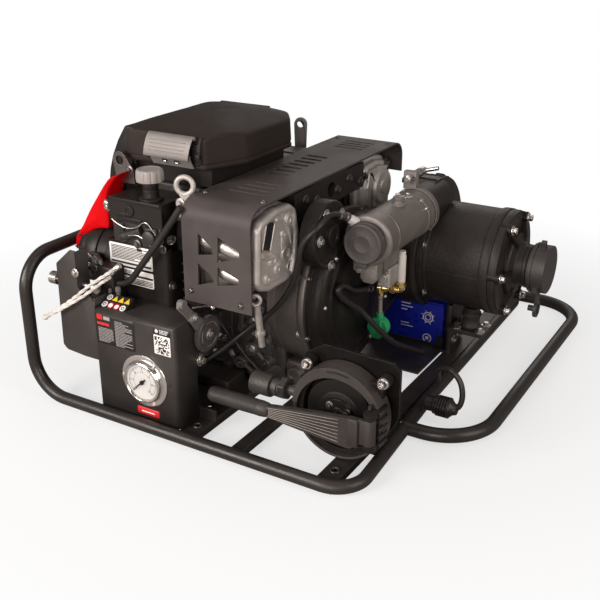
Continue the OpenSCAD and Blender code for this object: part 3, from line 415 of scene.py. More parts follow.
def rounded(outline, radius, segments=5):
    """outline with rounded corners; radius is one number or one per corner"""
    out = []
    n = len(outline)
    for i in range(n):
        before, corner, after = (Vector(outline[k]) for k in (i - 1, i, (i + 1) % n))
        r = radius[i] if isinstance(radius, (list, tuple)) else radius
        u, v = before - corner, after - corner
        len_u, len_v = u.length, v.length
        u.normalize()
        v.normalize()
        angle = math.acos(max(-1, min(1, u.dot(v))))
        if r <= 0 or angle > 3.12:
            out.append((corner.x, corner.y))
            continue
        d = min(r / math.tan(angle / 2), len_u * 0.48, len_v * 0.48)
        r = d * math.tan(angle / 2)
        centre = corner + (u + v).normalized() * (r / math.sin(angle / 2))
        start, end = corner + u * d - centre, corner + v * d - centre
        a0, a1 = math.atan2(start.y, start.x), math.atan2(end.y, end.x)
        turn = (a1 - a0 + math.pi) % (2 * math.pi) - math.pi
        for k in range(segments + 1):
            t = a0 + turn * k / segments
            out.append((centre.x + r * math.cos(t), centre.y + r * math.sin(t)))
    return out


def hull(points):
    """convex hull, counter-clockwise"""
    points = sorted(set((round(x, 4), round(y, 4)) for x, y in points))

    def half(row):
        out = []
        for q in row:
            while len(out) > 1:
                a, b = out[-2:]
                if (b[0] - a[0]) * (q[1] - b[1]) - (b[1] - a[1]) * (q[0] - b[0]) > 0:
                    break
                out.pop()
            out.append(q)
        return out[:-1]

    return half(points) + half(points[::-1])


def resample(outline, n):
    """n evenly spaced points along a closed outline"""
    points = [Vector(p) for p in outline] + [Vector(outline[0])]
    reach = [0.0]
    for a, b in zip(points, points[1:]):
        reach.append(reach[-1] + (b - a).length)
    out = []
    k = 0
    for i in range(n):
        s = reach[-1] * i / n
        while reach[k + 1] < s:
            k += 1
        t = (s - reach[k]) / max(1e-9, reach[k + 1] - reach[k])
        q = points[k].lerp(points[k + 1], t)
        out.append((q.x, q.y))
    return out


def inset(outline, distance):
    """closed outline moved inwards"""
    n = len(outline)
    area = sum(outline[i - 1][0] * outline[i][1] - outline[i][0] * outline[i - 1][1]
               for i in range(n))
    sign = 1 if area > 0 else -1
    out = []
    for i in range(n):
        a, b, c = (Vector(outline[k]) for k in (i - 1, i, (i + 1) % n))
        along = (b - a).normalized() + (c - b).normalized()
        if along.length < 1e-6:
            along = b - a
        along.normalize()
        across = Vector((-along.y, along.x)) * sign
        out.append((b.x + across.x * distance, b.y + across.y * distance))
    return out


def spline(points, steps=8):
    """centripetal curve through the points"""
    points = [Vector(p) for p in points]
    padded = [points[0] * 2 - points[1], *points, points[-1] * 2 - points[-2]]
    out = []
    for four in zip(padded, padded[1:], padded[2:], padded[3:]):
        knots = [0.0]
        for a, b in zip(four, four[1:]):
            knots.append(knots[-1] + max(1e-6, (b - a).length) ** 0.5)
        t0, t1, t2, t3 = knots
        for step in range(steps):
            t = t1 + (t2 - t1) * step / steps

            def blend(a, b, start, end):
                return a * ((end - t) / (end - start)) + b * ((t - start) / (end - start))

            a1, a2, a3 = (blend(four[k], four[k + 1], knots[k], knots[k + 1]) for k in range(3))
            out.append(blend(blend(a1, a2, t0, t2), blend(a2, a3, t1, t3), t1, t2))
    out.append(points[-1])
    return out


# ---------------------------------------------------------------- shapes, each a loose mesh
def shape(part, matrix=None):
    """turn a bmesh into a mesh, moved by matrix"""
    mesh = bpy.data.meshes.new("part")
    part.to_mesh(mesh)
    part.free()
    if matrix is not None:
        mesh.transform(matrix)
    return mesh


def lathe(profile, matrix, n=48):
    """profile of (radius, height) turned about local z; a radius of 0 is a pole"""
    part = bmesh.new()
    loops = []
    for r, h in profile:
        ring = [(0, 0)] if r < 1e-6 else circle(0, 0, r, n)
        loops.append([part.verts.new((x, y, h)) for x, y in ring])
    for a, b in zip(loops, loops[1:]):
        for i in range(n):
            j = (i + 1) % n
            if len(a) == 1:
                part.faces.new((a[0], b[j], b[i]))
            elif len(b) == 1:
                part.faces.new((a[i], a[j], b[0]))
            else:
                part.faces.new((a[i], a[j], b[j], b[i]))
    bmesh.ops.recalc_face_normals(part, faces=part.faces)
    return shape(part, matrix)


def skin(loops, matrix=None, closed=False, caps=True):
    """skin between loops of equal length; closed joins the last loop to the first"""
    part = bmesh.new()
    loops = [[part.verts.new(q) for q in loop] for loop in loops]
    n = len(loops[0])
    for a, b in zip(loops, loops[1:] + loops[:1] if closed else loops[1:]):
        for i in range(n):
            j = (i + 1) % n
            part.faces.new((a[i], a[j], b[j], b[i]))
    if caps and not closed:
        part.faces.new(list(reversed(loops[0])))
        part.faces.new(loops[-1])
    bmesh.ops.recalc_face_normals(part, faces=part.faces)
    return shape(part, matrix)


def torus(radius, tube_radius, matrix, n, sides, depth=None, standing=False):
    """ring about local z, or about local y when standing"""
    part = bmesh.new()
    loops = []
    for u, v in circle(0, 0, 1, n):
        loop = []
        for c, s in circle(0, 0, 1, sides):
            reach = radius + tube_radius * c
            x, y, h = reach * u, reach * v, (depth or tube_radius) * s
            loop.append(part.verts.new((x, h, y) if standing else (x, y, h)))
        loops.append(loop)
    for i in range(n):
        a, b = loops[i], loops[(i + 1) % n]
        for j in range(sides):
            k = (j + 1) % sides
            part.faces.new((a[j], b[j], b[k], a[k]))
    bmesh.ops.recalc_face_normals(part, faces=part.faces)
    return shape(part, matrix)


def prism(outline, h0, h1, matrix, bevel=0.0, segments=2):
    """outline between two heights; only end edges that lie exactly at h0 or h1 are bevelled"""
    part = bmesh.new()
    low = [part.verts.new((x, y, h0)) for x, y in outline]
    high = [part.verts.new((x, y, h1)) for x, y in outline]
    n = len(outline)
    part.faces.new(low)
    part.faces.new(high)
    for i in range(n):
        j = (i + 1) % n
        part.faces.new((low[i], low[j], high[j], high[i]))
    bmesh.ops.recalc_face_normals(part, faces=part.faces)
    if bevel > 0:
        rims = [e for e in part.edges
                if any(all(abs(v.co.z - h) < 1e-6 for v in e.verts) for h in (h1, h0))]
        bmesh.ops.bevel(part, geom=rims, offset=bevel, segments=segments, profile=0.5,
                        affect="EDGES", clamp_overlap=True)
    return shape(part, matrix)


def cube(low, high):
    part = bmesh.new()
    bmesh.ops.create_cube(part, size=1.0)
    for v in part.verts:
        v.co = Vector([low[i] + (v.co[i] + 0.5) * (high[i] - low[i]) for i in range(3)])
    return part


def box(low, high, radius=0.8, segments=2, matrix=None):
    part = cube(low, high)
    if radius > 0:
        bmesh.ops.bevel(part, geom=list(part.edges), offset=radius, segments=segments,
                        profile=0.5, affect="EDGES", clamp_overlap=True)
    return shape(part, matrix)


def boxes(*rows):
    """rows of (low corner, high corner, edge radius, bevel segments)"""
    return [box(*row) for row in rows]


def sweep(path, radius, sides=12, closed=False, section=None, twist=0.0):
    """tube along path; radius is a number or a function of 0..1"""
    path = [Vector(p) for p in path]
    n = len(path)
    tangents = []
    for i in range(n):
        before = path[i - 1] if closed or i > 0 else path[i]
        after = path[(i + 1) % n] if closed or i < n - 1 else path[i]
        tangents.append((after - before).normalized())
    section = section or circle(0, 0, 1, sides)
    x = tangents[0].orthogonal().normalized()
    loops = []
    for i in range(n):
        if i:
            x = tangents[i - 1].rotation_difference(tangents[i]) @ x
            x = (x - tangents[i] * x.dot(tangents[i])).normalized()
        y = tangents[i].cross(x)
        r = radius(i / (n - 1)) if callable(radius) else radius
        c, s = math.cos(twist * i), math.sin(twist * i)
        loops.append([path[i] + (x * (u * c - v * s) + y * (u * s + v * c)) * r
                      for u, v in section])
    return skin(loops, closed=closed)


def tube(points, radius, sides=8, steps=8, **options):
    return sweep(spline(points, steps), radius, sides, **options)


def relief(outline, levels, put):
    """stack of insets: levels are (inset, height), put(x, y, h) gives the point"""
    return skin([[put(x, y, h) for x, y in (inset(outline, d) if d else outline)]
                 for d, h in levels])


def hexbolt(at, axis, across, height, washer=True):
    """chamfered hex head standing at a point; across is its width over the flats"""
    matrix = facing(at, axis)
    corner = across / 2 / math.cos(math.pi / 6)
    shapes = []
    seat = 0.0
    if washer:
        r, top = across * 0.98, across * 0.17
        shapes.append(lathe([(0, 0), (r, 0), (r, across * 0.12), (across * 0.9, top), (0, top)],
                            matrix, 28))
        seat = across * 0.15
    levels = ((corner, seat), (corner, seat + height * 0.86), (corner * 0.86, seat + height))
    shapes.append(skin([[(x, y, h) for x, y in circle(0, 0, r, 6)] for r, h in levels], matrix))
    return shapes


def bolts(axis, across, height, *places):
    return [hexbolt(at, axis, across, height) for at in places]


def capscrew(at, axis, diameter, height):
    """socket head screw"""
    r, h = diameter / 2, height
    return lathe([(0, 0), (r, 0), (r, h * 0.88), (r * 0.9, h), (r * 0.56, h), (r * 0.5, h - 0.4),
                  (r * 0.5, h * 0.45), (0, h * 0.4)], facing(at, axis), 24)


def buttonscrew(at, axis, diameter, height):
    r, h = diameter / 2, height
    return lathe([(0, 0), (r, 0), (r * 0.98, h * 0.3), (r * 0.8, h * 0.72), (r * 0.5, h * 0.95),
                  (r * 0.4, h), (r * 0.36, h * 0.5), (0, h * 0.45)], facing(at, axis), 24)


def flattened(shapes):
    for item in shapes:
        if isinstance(item, list):
            yield from flattened(item)
        else:
            yield item


def gather(shapes):
    """join shapes, or nested lists of them, into one bmesh"""
    whole = bmesh.new()
    for part in flattened(shapes):
        whole.from_mesh(part)
        bpy.data.meshes.remove(part)
    return whole


def piece(name, material, *shapes, body="chassis", smooth=38.0):
    """join shapes into one object in metres; faces closer than smooth degrees shade round"""
    whole = gather(shapes)
    bmesh.ops.remove_doubles(whole, verts=whole.verts, dist=0.001)
    mesh = bpy.data.meshes.new(name)
    whole.to_mesh(mesh)
    whole.free()
    mesh.transform(Matrix.Scale(MM, 4))
    made = bpy.data.objects.new(name, mesh)
    bpy.context.scene.collection.objects.link(made)
    mesh.materials.append(MATERIALS[material])
    for face in mesh.polygons:
        face.use_smooth = True
    mesh.set_sharp_from_angle(angle=math.radians(smooth))
    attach(made, body)
    return made


def thicken(made, thickness):
    solid = made.modifiers.new("thick", "SOLIDIFY")
    solid.thickness = thickness
    solid.offset = -1.0
    return solid


# ---------------------------------------------------------------- air cleaner cover
COVER_CENTRE = (-157.0, -149.0)
# corners (x, y) and their radii
COVER_CORNERS = [(-51, -64), (-72, -40), (-238, -40), (-266, -72),
                 (-266, -226), (-228, -261), (-80, -261), (-51, -192)]
COVER_RADII = [20, 26, 34, 34, 34, 26, 7, 7]
# top height along x, then along y: (place, z)
COVER_TOP_X = [(-268, 396), (-258, 404), (-246, 417), (-232, 428), (-214, 436), (-190, 441.5),
               (-160, 445.6), (-140, 446.2), (-115, 443.4), (-90, 438), (-70, 431), (-51, 420.5)]
COVER_TOP_Y = [(-261, 425), (-245, 430.6), (-228, 435), (-205, 439.6), (-180, 443),
               (-150, 446.6), (-120, 446.8), (-95, 445), (-72, 441), (-56, 436), (-40, 428)]
# rim and shoulder loops: (inset, z), then (inset, drop below the top)
COVER_RIM = ((0.0, 379.6), (0.0, 383.6), (1.6, 385.0), (1.8, 387.6), (0.6, 388.8))
COVER_DOME = ((2.0, 2.0), (2.3, 0.95), (3.1, 0.25), (4.6, 0.0),
              *((d, 0) for d in (8, 13, 19, 26, 34, 43, 53, 64, 76, 90)))


def table_value(table, at):
    """straight-line reading of (place, value) stations, flat beyond the ends"""
    if at <= table[0][0]:
        return table[0][1]
    for (a, value_a), (b, value_b) in zip(table, table[1:]):
        if at <= b:
            t = max(0.0, (at - a) / (b - a))
            return value_a + (value_b - value_a) * t
    return table[-1][1]


def cover_top(x, y):
    a, b = table_value(COVER_TOP_X, x), table_value(COVER_TOP_Y, y)
    # the right hand edge drops towards the front corner
    b -= 5.0 * max(0.0, min(1.0, (x + 110) / 59.0)) * max(0.0, min(1.0, (-150 - y) / 70.0))
    blend = 9.0
    h = max(0.0, min(1.0, 0.5 + 0.5 * (b - a) / blend))
    return b + (a - b) * h - blend * h * (1 - h)


def cover_inward(x, y, distance):
    v = Vector((COVER_CENTRE[0] - x, COVER_CENTRE[1] - y))
    k = min(0.95, distance / v.length)
    return x + v.x * k, y + v.y * k


def air_cover_shell():
    outline = resample(rounded(COVER_CORNERS, COVER_RADII, 8), 240)
    loops = [[(*cover_inward(x, y, d), z) for x, y in outline] for d, z in COVER_RIM]
    wall_foot = COVER_RIM[-1][1]
    for t in (0.2, 0.45, 0.7, 0.88):
        loop = []
        for x, y in outline:
            x, y = cover_inward(x, y, 0.4 + 1.6 * t)
            loop.append((x, y, wall_foot + (cover_top(x, y) - 2.0 - wall_foot) * t))
        loops.append(loop)
    for d, drop in COVER_DOME:
        points = [cover_inward(x, y, d) for x, y in outline]
        loops.append([(x, y, cover_top(x, y) - drop) for x, y in points])
    # soften the dome between the loops
    for _ in range(6):
        for k in range(12, len(loops) - 1):
            a, b, c = loops[k - 1:k + 2]
            n = len(b)
            loops[k] = [(b[i][0], b[i][1], 0.4 * b[i][2] + 0.15 * (a[i][2] + c[i][2])
                         + 0.15 * (b[i - 1][2] + b[(i + 1) % n][2])) for i in range(n)]
    fan = bmesh.new()
    last = loops[-1]
    rim = [fan.verts.new(q) for q in last]
    peak = fan.verts.new((*COVER_CENTRE, sum(q[2] for q in last) / len(last)))
    for i in range(len(rim)):
        fan.faces.new((rim[i], rim[(i + 1) % len(rim)], peak))
    whole = gather([skin(loops, caps=False), shape(fan)])
    bmesh.ops.remove_doubles(whole, verts=whole.verts, dist=0.01)
    bmesh.ops.recalc_face_normals(whole, faces=whole.faces)
    made = piece("air_cover_shell", "cover_plastic", shape(whole), smooth=30)
    thicken(made, 0.0022)
    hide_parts("air_cover")


def air_cover_details():
    """raised rear strip, two ribs beside the latch recess and a small block"""
    strip = resample(rounded([(-196, -58), (-104, -58), (-100, -47), (-200, -47)], 3, 4), 48)
    rib = rounded([(-255, 386), (-263.6, 388), (-265.8, 396), (-266.4, 408), (-264.4, 418),
                   (-260, 426.6), (-255, 428)], 2.4, 3)
    piece("air_cover_details", "cover_plastic",
          relief(strip, [(0, 420), (0, 434.6), (0.5, 435.6), (1.5, 436.0)],
                 lambda x, y, h: (x, y, h)),
          [prism(rib, x0, x0 + 5, ON_SIDE, 1.0, 2) for x0 in (-186, -89)],
          box((-92, -268.4, 396), (-84, -262, 404), 1.2, 2))
    # near-black plate in the recess behind the latch: painted shade
    piece("latch_recess_painted_shade", "needle", box((-181, -261.9, 384), (-89, -258, 417), 2.0, 2))


# ---------------------------------------------------------------- instrument panel
def cut(part, place, normal):
    bmesh.ops.bisect_plane(part, geom=list(part.verts) + list(part.edges) + list(part.faces),
                           plane_co=place, plane_no=normal)


def drop_faces(part, faces):
    bmesh.ops.delete(part, geom=faces, context="FACES")


def panel_box():
    """sheet box, open at the back, below and on the left"""
    part = cube((-208, -380, 14), (-57, -300, 180))
    front_rims = [e for e in part.edges
                  if all(v.co.x > -60 and v.co.y < -379 for v in e.verts)
                  or all(v.co.z > 179 and v.co.y < -379 for v in e.verts)]
    bmesh.ops.bevel(part, geom=front_rims, offset=7.5, segments=7, profile=0.5, affect="EDGES")
    drop_faces(part, [f for f in part.faces
                      if f.normal.y > 0.9 or f.normal.z < -0.9 or f.normal.x < -0.9])
    # the right side is cut back below
    back_y, cut_z = -331, 118
    cut(part, (0, back_y, 0), (0, 1, 0))
    cut(part, (0, 0, cut_z), (0, 0, 1))
    middles = [(f, f.calc_center_median()) for f in part.faces]
    drop_faces(part, [f for f, middle in middles if middle.y > back_y and middle.z < cut_z])
    made = piece("panel_box", "panel_powder", shape(part), smooth=30)
    thicken(made, 0.003).use_even_offset = True
    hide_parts("control_panel")


def panel_fittings():
    wing = rounded([(-280, 102), (-272, 95), (-236, 92), (-207, 92), (-207, 186), (-214, 196),
                    (-230, 198), (-237.4, 206), (-237.4, 264), (-247, 264), (-277, 238)],
                   [5, 6, 3, 0, 2, 6, 8, 3, 1, 3, 5], 4)
    # the wing, its return flange and a stiffening lip round the recess
    piece("panel_wing", "panel_powder",
          prism(wing, 0, 2.6, Matrix.Translation((0, -377.2, 0)) @ ON_FRONT, 0.5, 2),
          boxes(((-240.2, -379, 96), (-237.4, -352, 262), 0.8, 2),
                ((-208, -379, 24), (-205, -331, 176), 0.8, 2),
                ((-209, -379.2, 181), (-206, -353, 194), 1.0, 2)), smooth=30)
    # two thin black discs standing in for holes beside the gauge: painted shade
    piece("panel_holes_painted_shade", "needle",
          [lathe([(0, 0), (2.0, 0), (1.7, 0.15), (0, 0.1)],
                 facing((GAUGE[0] + dx, PANEL_FACE, GAUGE[1] + dz), FRONT), 16)
           for dx, dz in ((-47, 4), (47, 5))])
    piece("panel_bolts", "zinc", hexbolt((-57, -322, 106), RIGHT, 10, 6),
          hexbolt((-239, -380, 229.6), FRONT, 7, 3.6))


# ---------------------------------------------------------------- pressure gauge
DIAL_STEPS = 55  # 5 degrees each, clockwise from the lower left


def dial_degrees(step):
    return 225 - 5 * step


def dial_arc(radius, thickness):
    points = [around(GAUGE, radius, dial_degrees(i)) for i in range(DIAL_STEPS)]
    return sweep([(x, -386.08, z) for x, z in points], thickness, 6)


def dial_tick(step):
    """flat bar across the scale; every ninth is longer and wider"""
    inner, half = (20.4, 0.42) if step % 9 == 0 else (22.6, 0.16)
    outer = 25.2
    t = math.radians(dial_degrees(step))
    c, s = math.cos(t), math.sin(t)
    part = bmesh.new()
    part.faces.new([part.verts.new((GAUGE[0] + r * c - w * s, -386.12, GAUGE[1] + r * s + w * c))
                    for r, w in ((inner, -half), (inner, half), (outer, half), (outer, -half))])
    grown = bmesh.ops.extrude_face_region(part, geom=list(part.faces))
    for item in grown["geom"]:
        if isinstance(item, bmesh.types.BMVert):
            item.co.y += 0.15
    bmesh.ops.recalc_face_normals(part, faces=part.faces)
    return shape(part)


def gauge_figure(index):
    """raised number, counting in fours"""
    x, z = around(GAUGE, 1, dial_degrees(9 * index))
    x = GAUGE[0] + (x - GAUGE[0]) * 17.8
    z = GAUGE[1] + (z - GAUGE[1]) * 17.6
    text = bpy.data.curves.new("fig%d" % index, "FONT")
    text.body = str(4 * index)
    text.size = 5.2 * MM
    text.align_x, text.align_y = "CENTER", "CENTER"
    text.extrude = 0.05 * MM
    holder = bpy.data.objects.new("fig%d" % index, text)
    bpy.context.scene.collection.objects.link(holder)
    holder.matrix_world = (Matrix.Translation(Vector((x, -386.1, z)) * MM)
                           @ Matrix.Rotation(math.radians(90), 4, "X"))
    bpy.context.view_layer.update()
    solid = holder.evaluated_get(bpy.context.evaluated_depsgraph_get())
    mesh = bpy.data.meshes.new_from_object(solid)
    mesh.transform(holder.matrix_world)
    bpy.data.objects.remove(holder)
    figure = bpy.data.objects.new("gauge_figure_%d" % index, mesh)
    bpy.context.scene.collection.objects.link(figure)
    mesh.materials.clear()
    mesh.materials.append(MATERIALS["needle"])
    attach(figure, "chassis")


def gauge():
    x, z = GAUGE
    face = facing((x, PANEL_FACE, z), FRONT)
    bezel = [(30.0, 0.0), (42.4, 0.0), (42.5, 1.0), (42.1, 1.8), (41.2, 2.2), (34.8, 2.4),
             (34.2, 3.0), (33.9, 6.2), (33.2, 8.4), (32.0, 9.7), (30.6, 10.2), (29.6, 9.9),
             (29.0, 9.0), (28.5, 6.4), (28.3, 6.0), (28.2, 2.0), (30.0, 0.0)]
    can = [(0, -34), (31.0, -34), (31.5, -32), (31.5, 0.2), (30, 0.4), (0, 0.4)]
    stub = [(0, -46), (6, -46), (7, -45), (7, -33.5), (0, -33.5)]
    made = piece("gauge_case", "gauge_steel", lathe(bezel, face, 96), lathe(can, face, 72),
                 lathe(stub, facing((x, PANEL_FACE, z - 12), FRONT), 6), smooth=30)
    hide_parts("pressure_gauge")
    spots = [around(GAUGE, 38.2, a) for a in (55, -65, -185)]
    piece("gauge_screws", "zinc",
          [buttonscrew((px, -382.2, pz), FRONT, 6.2, 2.2) for px, pz in spots])
    piece("gauge_dial", "dial", lathe([(0, 5.4), (27.9, 5.4), (27.9, 6.0), (0, 6.0)], face, 72))
    piece("gauge_scale", "needle", [dial_tick(i) for i in range(DIAL_STEPS)],
          dial_arc(25.4, 0.18), dial_arc(16.2, 0.14))
    for index in range(7):
        gauge_figure(index)
    pane = [(0, 9.2), (14, 9.1), (24, 8.8), (28.9, 8.3), (28.9, 7.9), (24, 8.3), (14, 8.6),
            (0, 8.7)]
    piece("gauge_glass", "gauge_glass", lathe(pane, face, 72))


# ---------------------------------------------------------------- plates, without lettering
def bars(y, x0, x1, z0, z1, rows, seed, lengths):
    """rows of short bars of random length in front of y; some rows end early"""
    draw = random.Random(seed)
    pitch = (z1 - z0) / rows
    out = []
    for row in range(rows):
        z = z0 + pitch * row
        x = x0
        end = x1 if draw.random() > 0.25 else x0 + (x1 - x0) * draw.uniform(0.45, 0.9)
        while x < end - 0.8:
            length = min(draw.uniform(*lengths), end - x)
            out.append(box((x, y - 0.16, z), (x + length, y, z + pitch * 0.55), 0.0))
            x += length + 0.5
    return out


def label(name, material, y, x0, x1, z0, z1, radius=1.2):
    thickness = 0.35
    outline = rounded([(x0, z0), (x1, z0), (x1, z1), (x0, z1)], radius, 4)
    levels = [(0, -y), (0, -y + thickness * 0.6), (thickness * 0.5, -y + thickness)]
    piece(name, material, relief(resample(outline, 72), levels, front_point), smooth=50)


def panel_plates():
    ink = PANEL_FACE - 0.42
    label("plate_instructions", "label_black", PANEL_FACE, -206.5, -131.5, 124.5, 173.5, 2)
    piece("plate_instructions_lines", "ink_grey",
          bars(ink, -202, -173, 128, 152, 10, seed=3, lengths=(3, 8)),
          bars(ink, -169, -136, 126.5, 168, 17, seed=4, lengths=(3, 8)),
          box((-190.5, -380.62, 164.5), (-178, -380.38, 170.5), 0.1, 1))
    piece("plate_instructions_red", "ink_red",
          boxes(((-203.5, -380.62, 163.5), (-192.5, -380.38, 171.5), 0.1, 1),
                ((-203.5, -380.62, 155), (-180, -380.38, 159.5), 0.1, 1)))
    # square plate with a plain random grid
    label("plate_grid", "ink_white", PANEL_FACE, -95.5, -65.5, 132.5, 163.5, 0.8)
    label("plate_grid_head", "label_black", PANEL_FACE, -95.5, -65.5, 165, 174.5, 0.8)
    draw = random.Random(11)
    cells = []
    for i in range(13):
        for j in range(13):
            if draw.random() < 0.42:
                cells.append(box((-93.6 + 2.02 * i, -380.55, 134.6 + 2.05 * j),
                                 (-91.7 + 2.02 * i, -380.3, 136.55 + 2.05 * j), 0.0))
    piece("plate_grid_cells", "needle", cells)
    piece("plate_grid_lines", "ink_white",
          bars(ink, -84, -68, 166.5, 173.5, 3, seed=8, lengths=(2, 5)),
          lathe([(0, 0), (2.9, 0), (2.9, 0.2), (0, 0.2)], facing((-89.5, -380.4, 169.6), FRONT), 20))
    label("plate_red", "ink_red", PANEL_FACE, -136.5, -94.5, 22.5, 34.5, 2)
    piece("plate_red_bar", "ink_white",
          bars(ink, -128, -103, 26.6, 30.6, 1, seed=5, lengths=(3, 6)))


def sign_plate():
    """plate leaning back on the front edge of the panel top, with eight plain signs"""
    up = Vector((0, 0.84, 0.5426))
    out = Vector((0, -0.5426, 0.84))
    lean = Matrix(((1, up.x, out.x, 0), (0, up.y, out.y, -371.0), (0, up.z, out.z, 178.8),
                   (0, 0, 0, 1)))
    wedge = [(-369, 177), (-369, 178.6), (-348, 191.8), (-344, 191.8), (-344, 177)]
    triangles, discs, borders = [], [], []
    for i in range(4):
        for j in range(2):
            x, y = -199.0 + 11.6 * i + 1.6 * j, 6.8 + 13.2 * j
            matrix = lean @ Matrix.Translation((x, y, 0.3))
            if j == 1 and i > 0:
                triangles.append(prism([(x - 5.2, y - 4.4), (x + 5.2, y - 4.4), (x, y + 5.2)],
                                       0.3, 0.7, lean))
            elif j == 0 and i in (1, 2):
                discs.append(lathe([(0, 0), (3.7, 0), (3.7, 0.4), (0, 0.4)], matrix, 24))
                borders.append(lathe([(3.5, 0), (5.4, 0), (5.4, 0.35), (3.5, 0.35), (3.5, 0)],
                                     matrix, 28))
            else:
                discs.append(lathe([(3.0, 0), (5.0, 0), (5.0, 0.4), (3.0, 0.4), (3.0, 0)],
                                   matrix, 24))
                discs.append(lathe([(0, 0), (1.6, 0), (1.6, 0.4), (0, 0.4)], matrix, 16))
    piece("sign_base", "label_black", box((-207, 0, -1.2), (-158, 27, 0.3), 0.5, 1, lean),
          prism(wedge, -206, -159, ON_SIDE, 0.5, 1))
    piece("sign_triangles", "ink_yellow", triangles)
    piece("sign_discs", "ink_white", discs)
    piece("sign_rings", "ink_red", borders)


def engine_labels():
    ink = SHROUD_FACE - 0.42
    label("engine_plate_label", "ink_white", SHROUD_FACE, -224, -141, 229.5, 264.5, 2)
    piece("engine_plate_lines", "needle",
          bars(ink, -220, -146, 240, 262, 9, seed=21, lengths=(3, 10)),
          boxes(((-222, -318.6, 233), (-144, -318.36, 236.2), 0.1, 1),
                ((-170, -318.62, 258.6), (-160, -318.36, 262), 0.1, 1)))
    label("engine_label_lower", "ink_white", SHROUD_FACE, -200, -141, 201, 226.0)
    piece("engine_label_lines", "needle",
          bars(ink, -198, -143, 203, 213, 4, seed=33, lengths=(3, 8)),
          box((-199, -318.62, 214.6), (-142, -318.36, 218), 0.1, 1),
          bars(ink, -198, -170, 219, 225, 3, seed=34, lengths=(3, 8)))


# ---------------------------------------------------------------- belt case
def belt_case():
    case_x = 60.4
    outline = resample(hull(circle(*CRANK, 125, 120) + circle(*PUMP, 70, 90)), 220)
    steps = [(0, case_x), (0, 63.4), (1.4, 64.2), (1.4, 66.2), (0, 67), (0, 74), (0.7, 78.4),
             (2.4, 82.2), (5.2, 85.4), (9, 87.4), (13, 88), (19, 88), (20.5, 86.6), (24, 86.4),
             (25.5, 87.4), (30, 87.6), (40, 87.7)]
    boss_steps = [(0, case_x), (0, 82), (0.8, 84.4), (2.6, 85.8), (8, 86), (9, 85.2), (12, 85.0),
                  (13.5, 85.8), (34, 86.0)]
    boss = (-178, 286)
    made = piece("belt_case_shell", "primer_cast", relief(outline, steps, side_point),
                 relief(circle(*boss, 52, 72), boss_steps, side_point),
                 lathe([(0, 86), (17, 86), (17, 90), (16, 91), (9, 91.4), (8, 90), (0, 90)],
                       along_x(*boss), 40),
                 lathe([(86, 86.8), (97, 87.2), (97, 88.4), (95.4, 89.3), (90, 89.4),
                        (88.6, 88.6), (60, 88.5), (58.5, 89.2), (30, 89.2), (28, 88.2),
                        (0, 88.2)], along_x(*CRANK), 96), smooth=32)
    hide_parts("belt_case", "belt_cover")
    piece("belt_case_screws", "zinc",
          bolts(RIGHT, 9, 4.5, (86.0, -213.9, 286.8), (86.0, -181, 239.5), (86.0, -150, 312),
                (86.0, -196, 322)),
          [buttonscrew((87.2, *around(CRANK, 111, a)), RIGHT, 8.0, 3.0)
           for a in range(15, 375, 40)],
          [buttonscrew((87.2, *around(PUMP, 60, a)), RIGHT, 7.0, 2.6) for a in (-60, 0, 60)])
    piece("bell_screws", "bolt_dark",
          [capscrew((60.0, *around(CRANK, 127, a)), RIGHT, 9, 5) for a in range(20, 360, 45)])
    piece("bell_ribs", "drum_machined",
          lathe([(126.6, 2), (127.9, 2.8), (127.9, 6), (126.6, 7)], along_x(*CRANK), 120),
          lathe([(127, 46), (128.6, 48), (131.4, 50.4), (131.8, 52), (131.8, 58), (130.8, 60)],
                along_x(*CRANK), 120))


# ---------------------------------------------------------------- port covers
# corners (y, z) of the front cover and their radii
PORT_CORNERS = [(-320, 244), (-317, 326), (-308, 335), (-267, 344), (-228, 342), (-214, 332),
                (-205, 298), (-208, 263), (-222, 231), (-243, 226), (-288, 226), (-306, 232)]
PORT_RADII = [12, 14, 10, 20, 14, 14, 30, 26, 14, 10, 14, 12]


def port_cover_front():
    outline = resample(rounded(PORT_CORNERS, PORT_RADII, 6), 150)
    steps = [(0, 8), (0, 16), (1.2, 17), (1.2, 19), (0, 20), (0, 28), (1.0, 29), (1.0, 31),
             (0, 32), (0, 40), (0.6, 43), (2.0, 45.6), (4.4, 47.2), (8.0, 47.3), (10.2, 46),
             (11.4, 43.6), (12.4, 42.6), (16, 42.4)]
    # bosses: y, z, radius, x of the top
    bosses = ((-276, 270, 9, 46.6), (-232, 318, 8, 45.8), (-246, 300, 5, 44.8),
              (-238, 268, 12, 44.2), (-262, 252, 7, 45), (-290, 246, 6, 45.5))
    made = piece(
        "port_cover_shell_front", "alloy_bright", relief(outline, steps, side_point),
        [lathe([(0, 42), (r + 1.6, 42), (r + 0.5, 42.9), (r, h - 1), (r - 1, h), (r * 0.5, h),
                (r * 0.42, h - 0.9), (0, h - 1)], along_x(y, z), 32) for y, z, r, h in bosses],
        tube([(42.6, -302, 284), (43.4, -290, 276), (44, -274, 275), (43.6, -262, 268),
              (42.6, -256, 258)], 3.6, 10),
        tube([(42.6, -262, 326), (43.2, -248, 322), (43.2, -232, 304), (42.8, -224, 280)], 2.4),
        box((41.8, -250, 276), (43.6, -222, 298), 1.2, 2), smooth=45)
    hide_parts("port_cover_front")
    slot = rounded([(-288, 331), (-267, 325), (-281, 285), (-301, 292)], 2.0, 3)
    hole = along_x(-228, 246)
    # thin black plates standing in for the slot and the hole: painted shade
    piece("port_cover_openings_painted_shade", "needle", prism(slot, 42.3, 43.3, ON_SIDE, 0.3, 1),
          lathe([(0, 42.3), (6, 42.3), (6, 43.4), (0, 43.4)], hole, 28))
    piece("port_cover_rims", "bare_alloy",
          sweep([(43.2, y, z) for y, z in resample(slot, 40)], 1.3, 8, closed=True),
          lathe([(6, 42.4), (8.4, 42.4), (8.0, 44.6), (6.4, 44.8), (6, 44), (6, 42.4)], hole, 28))


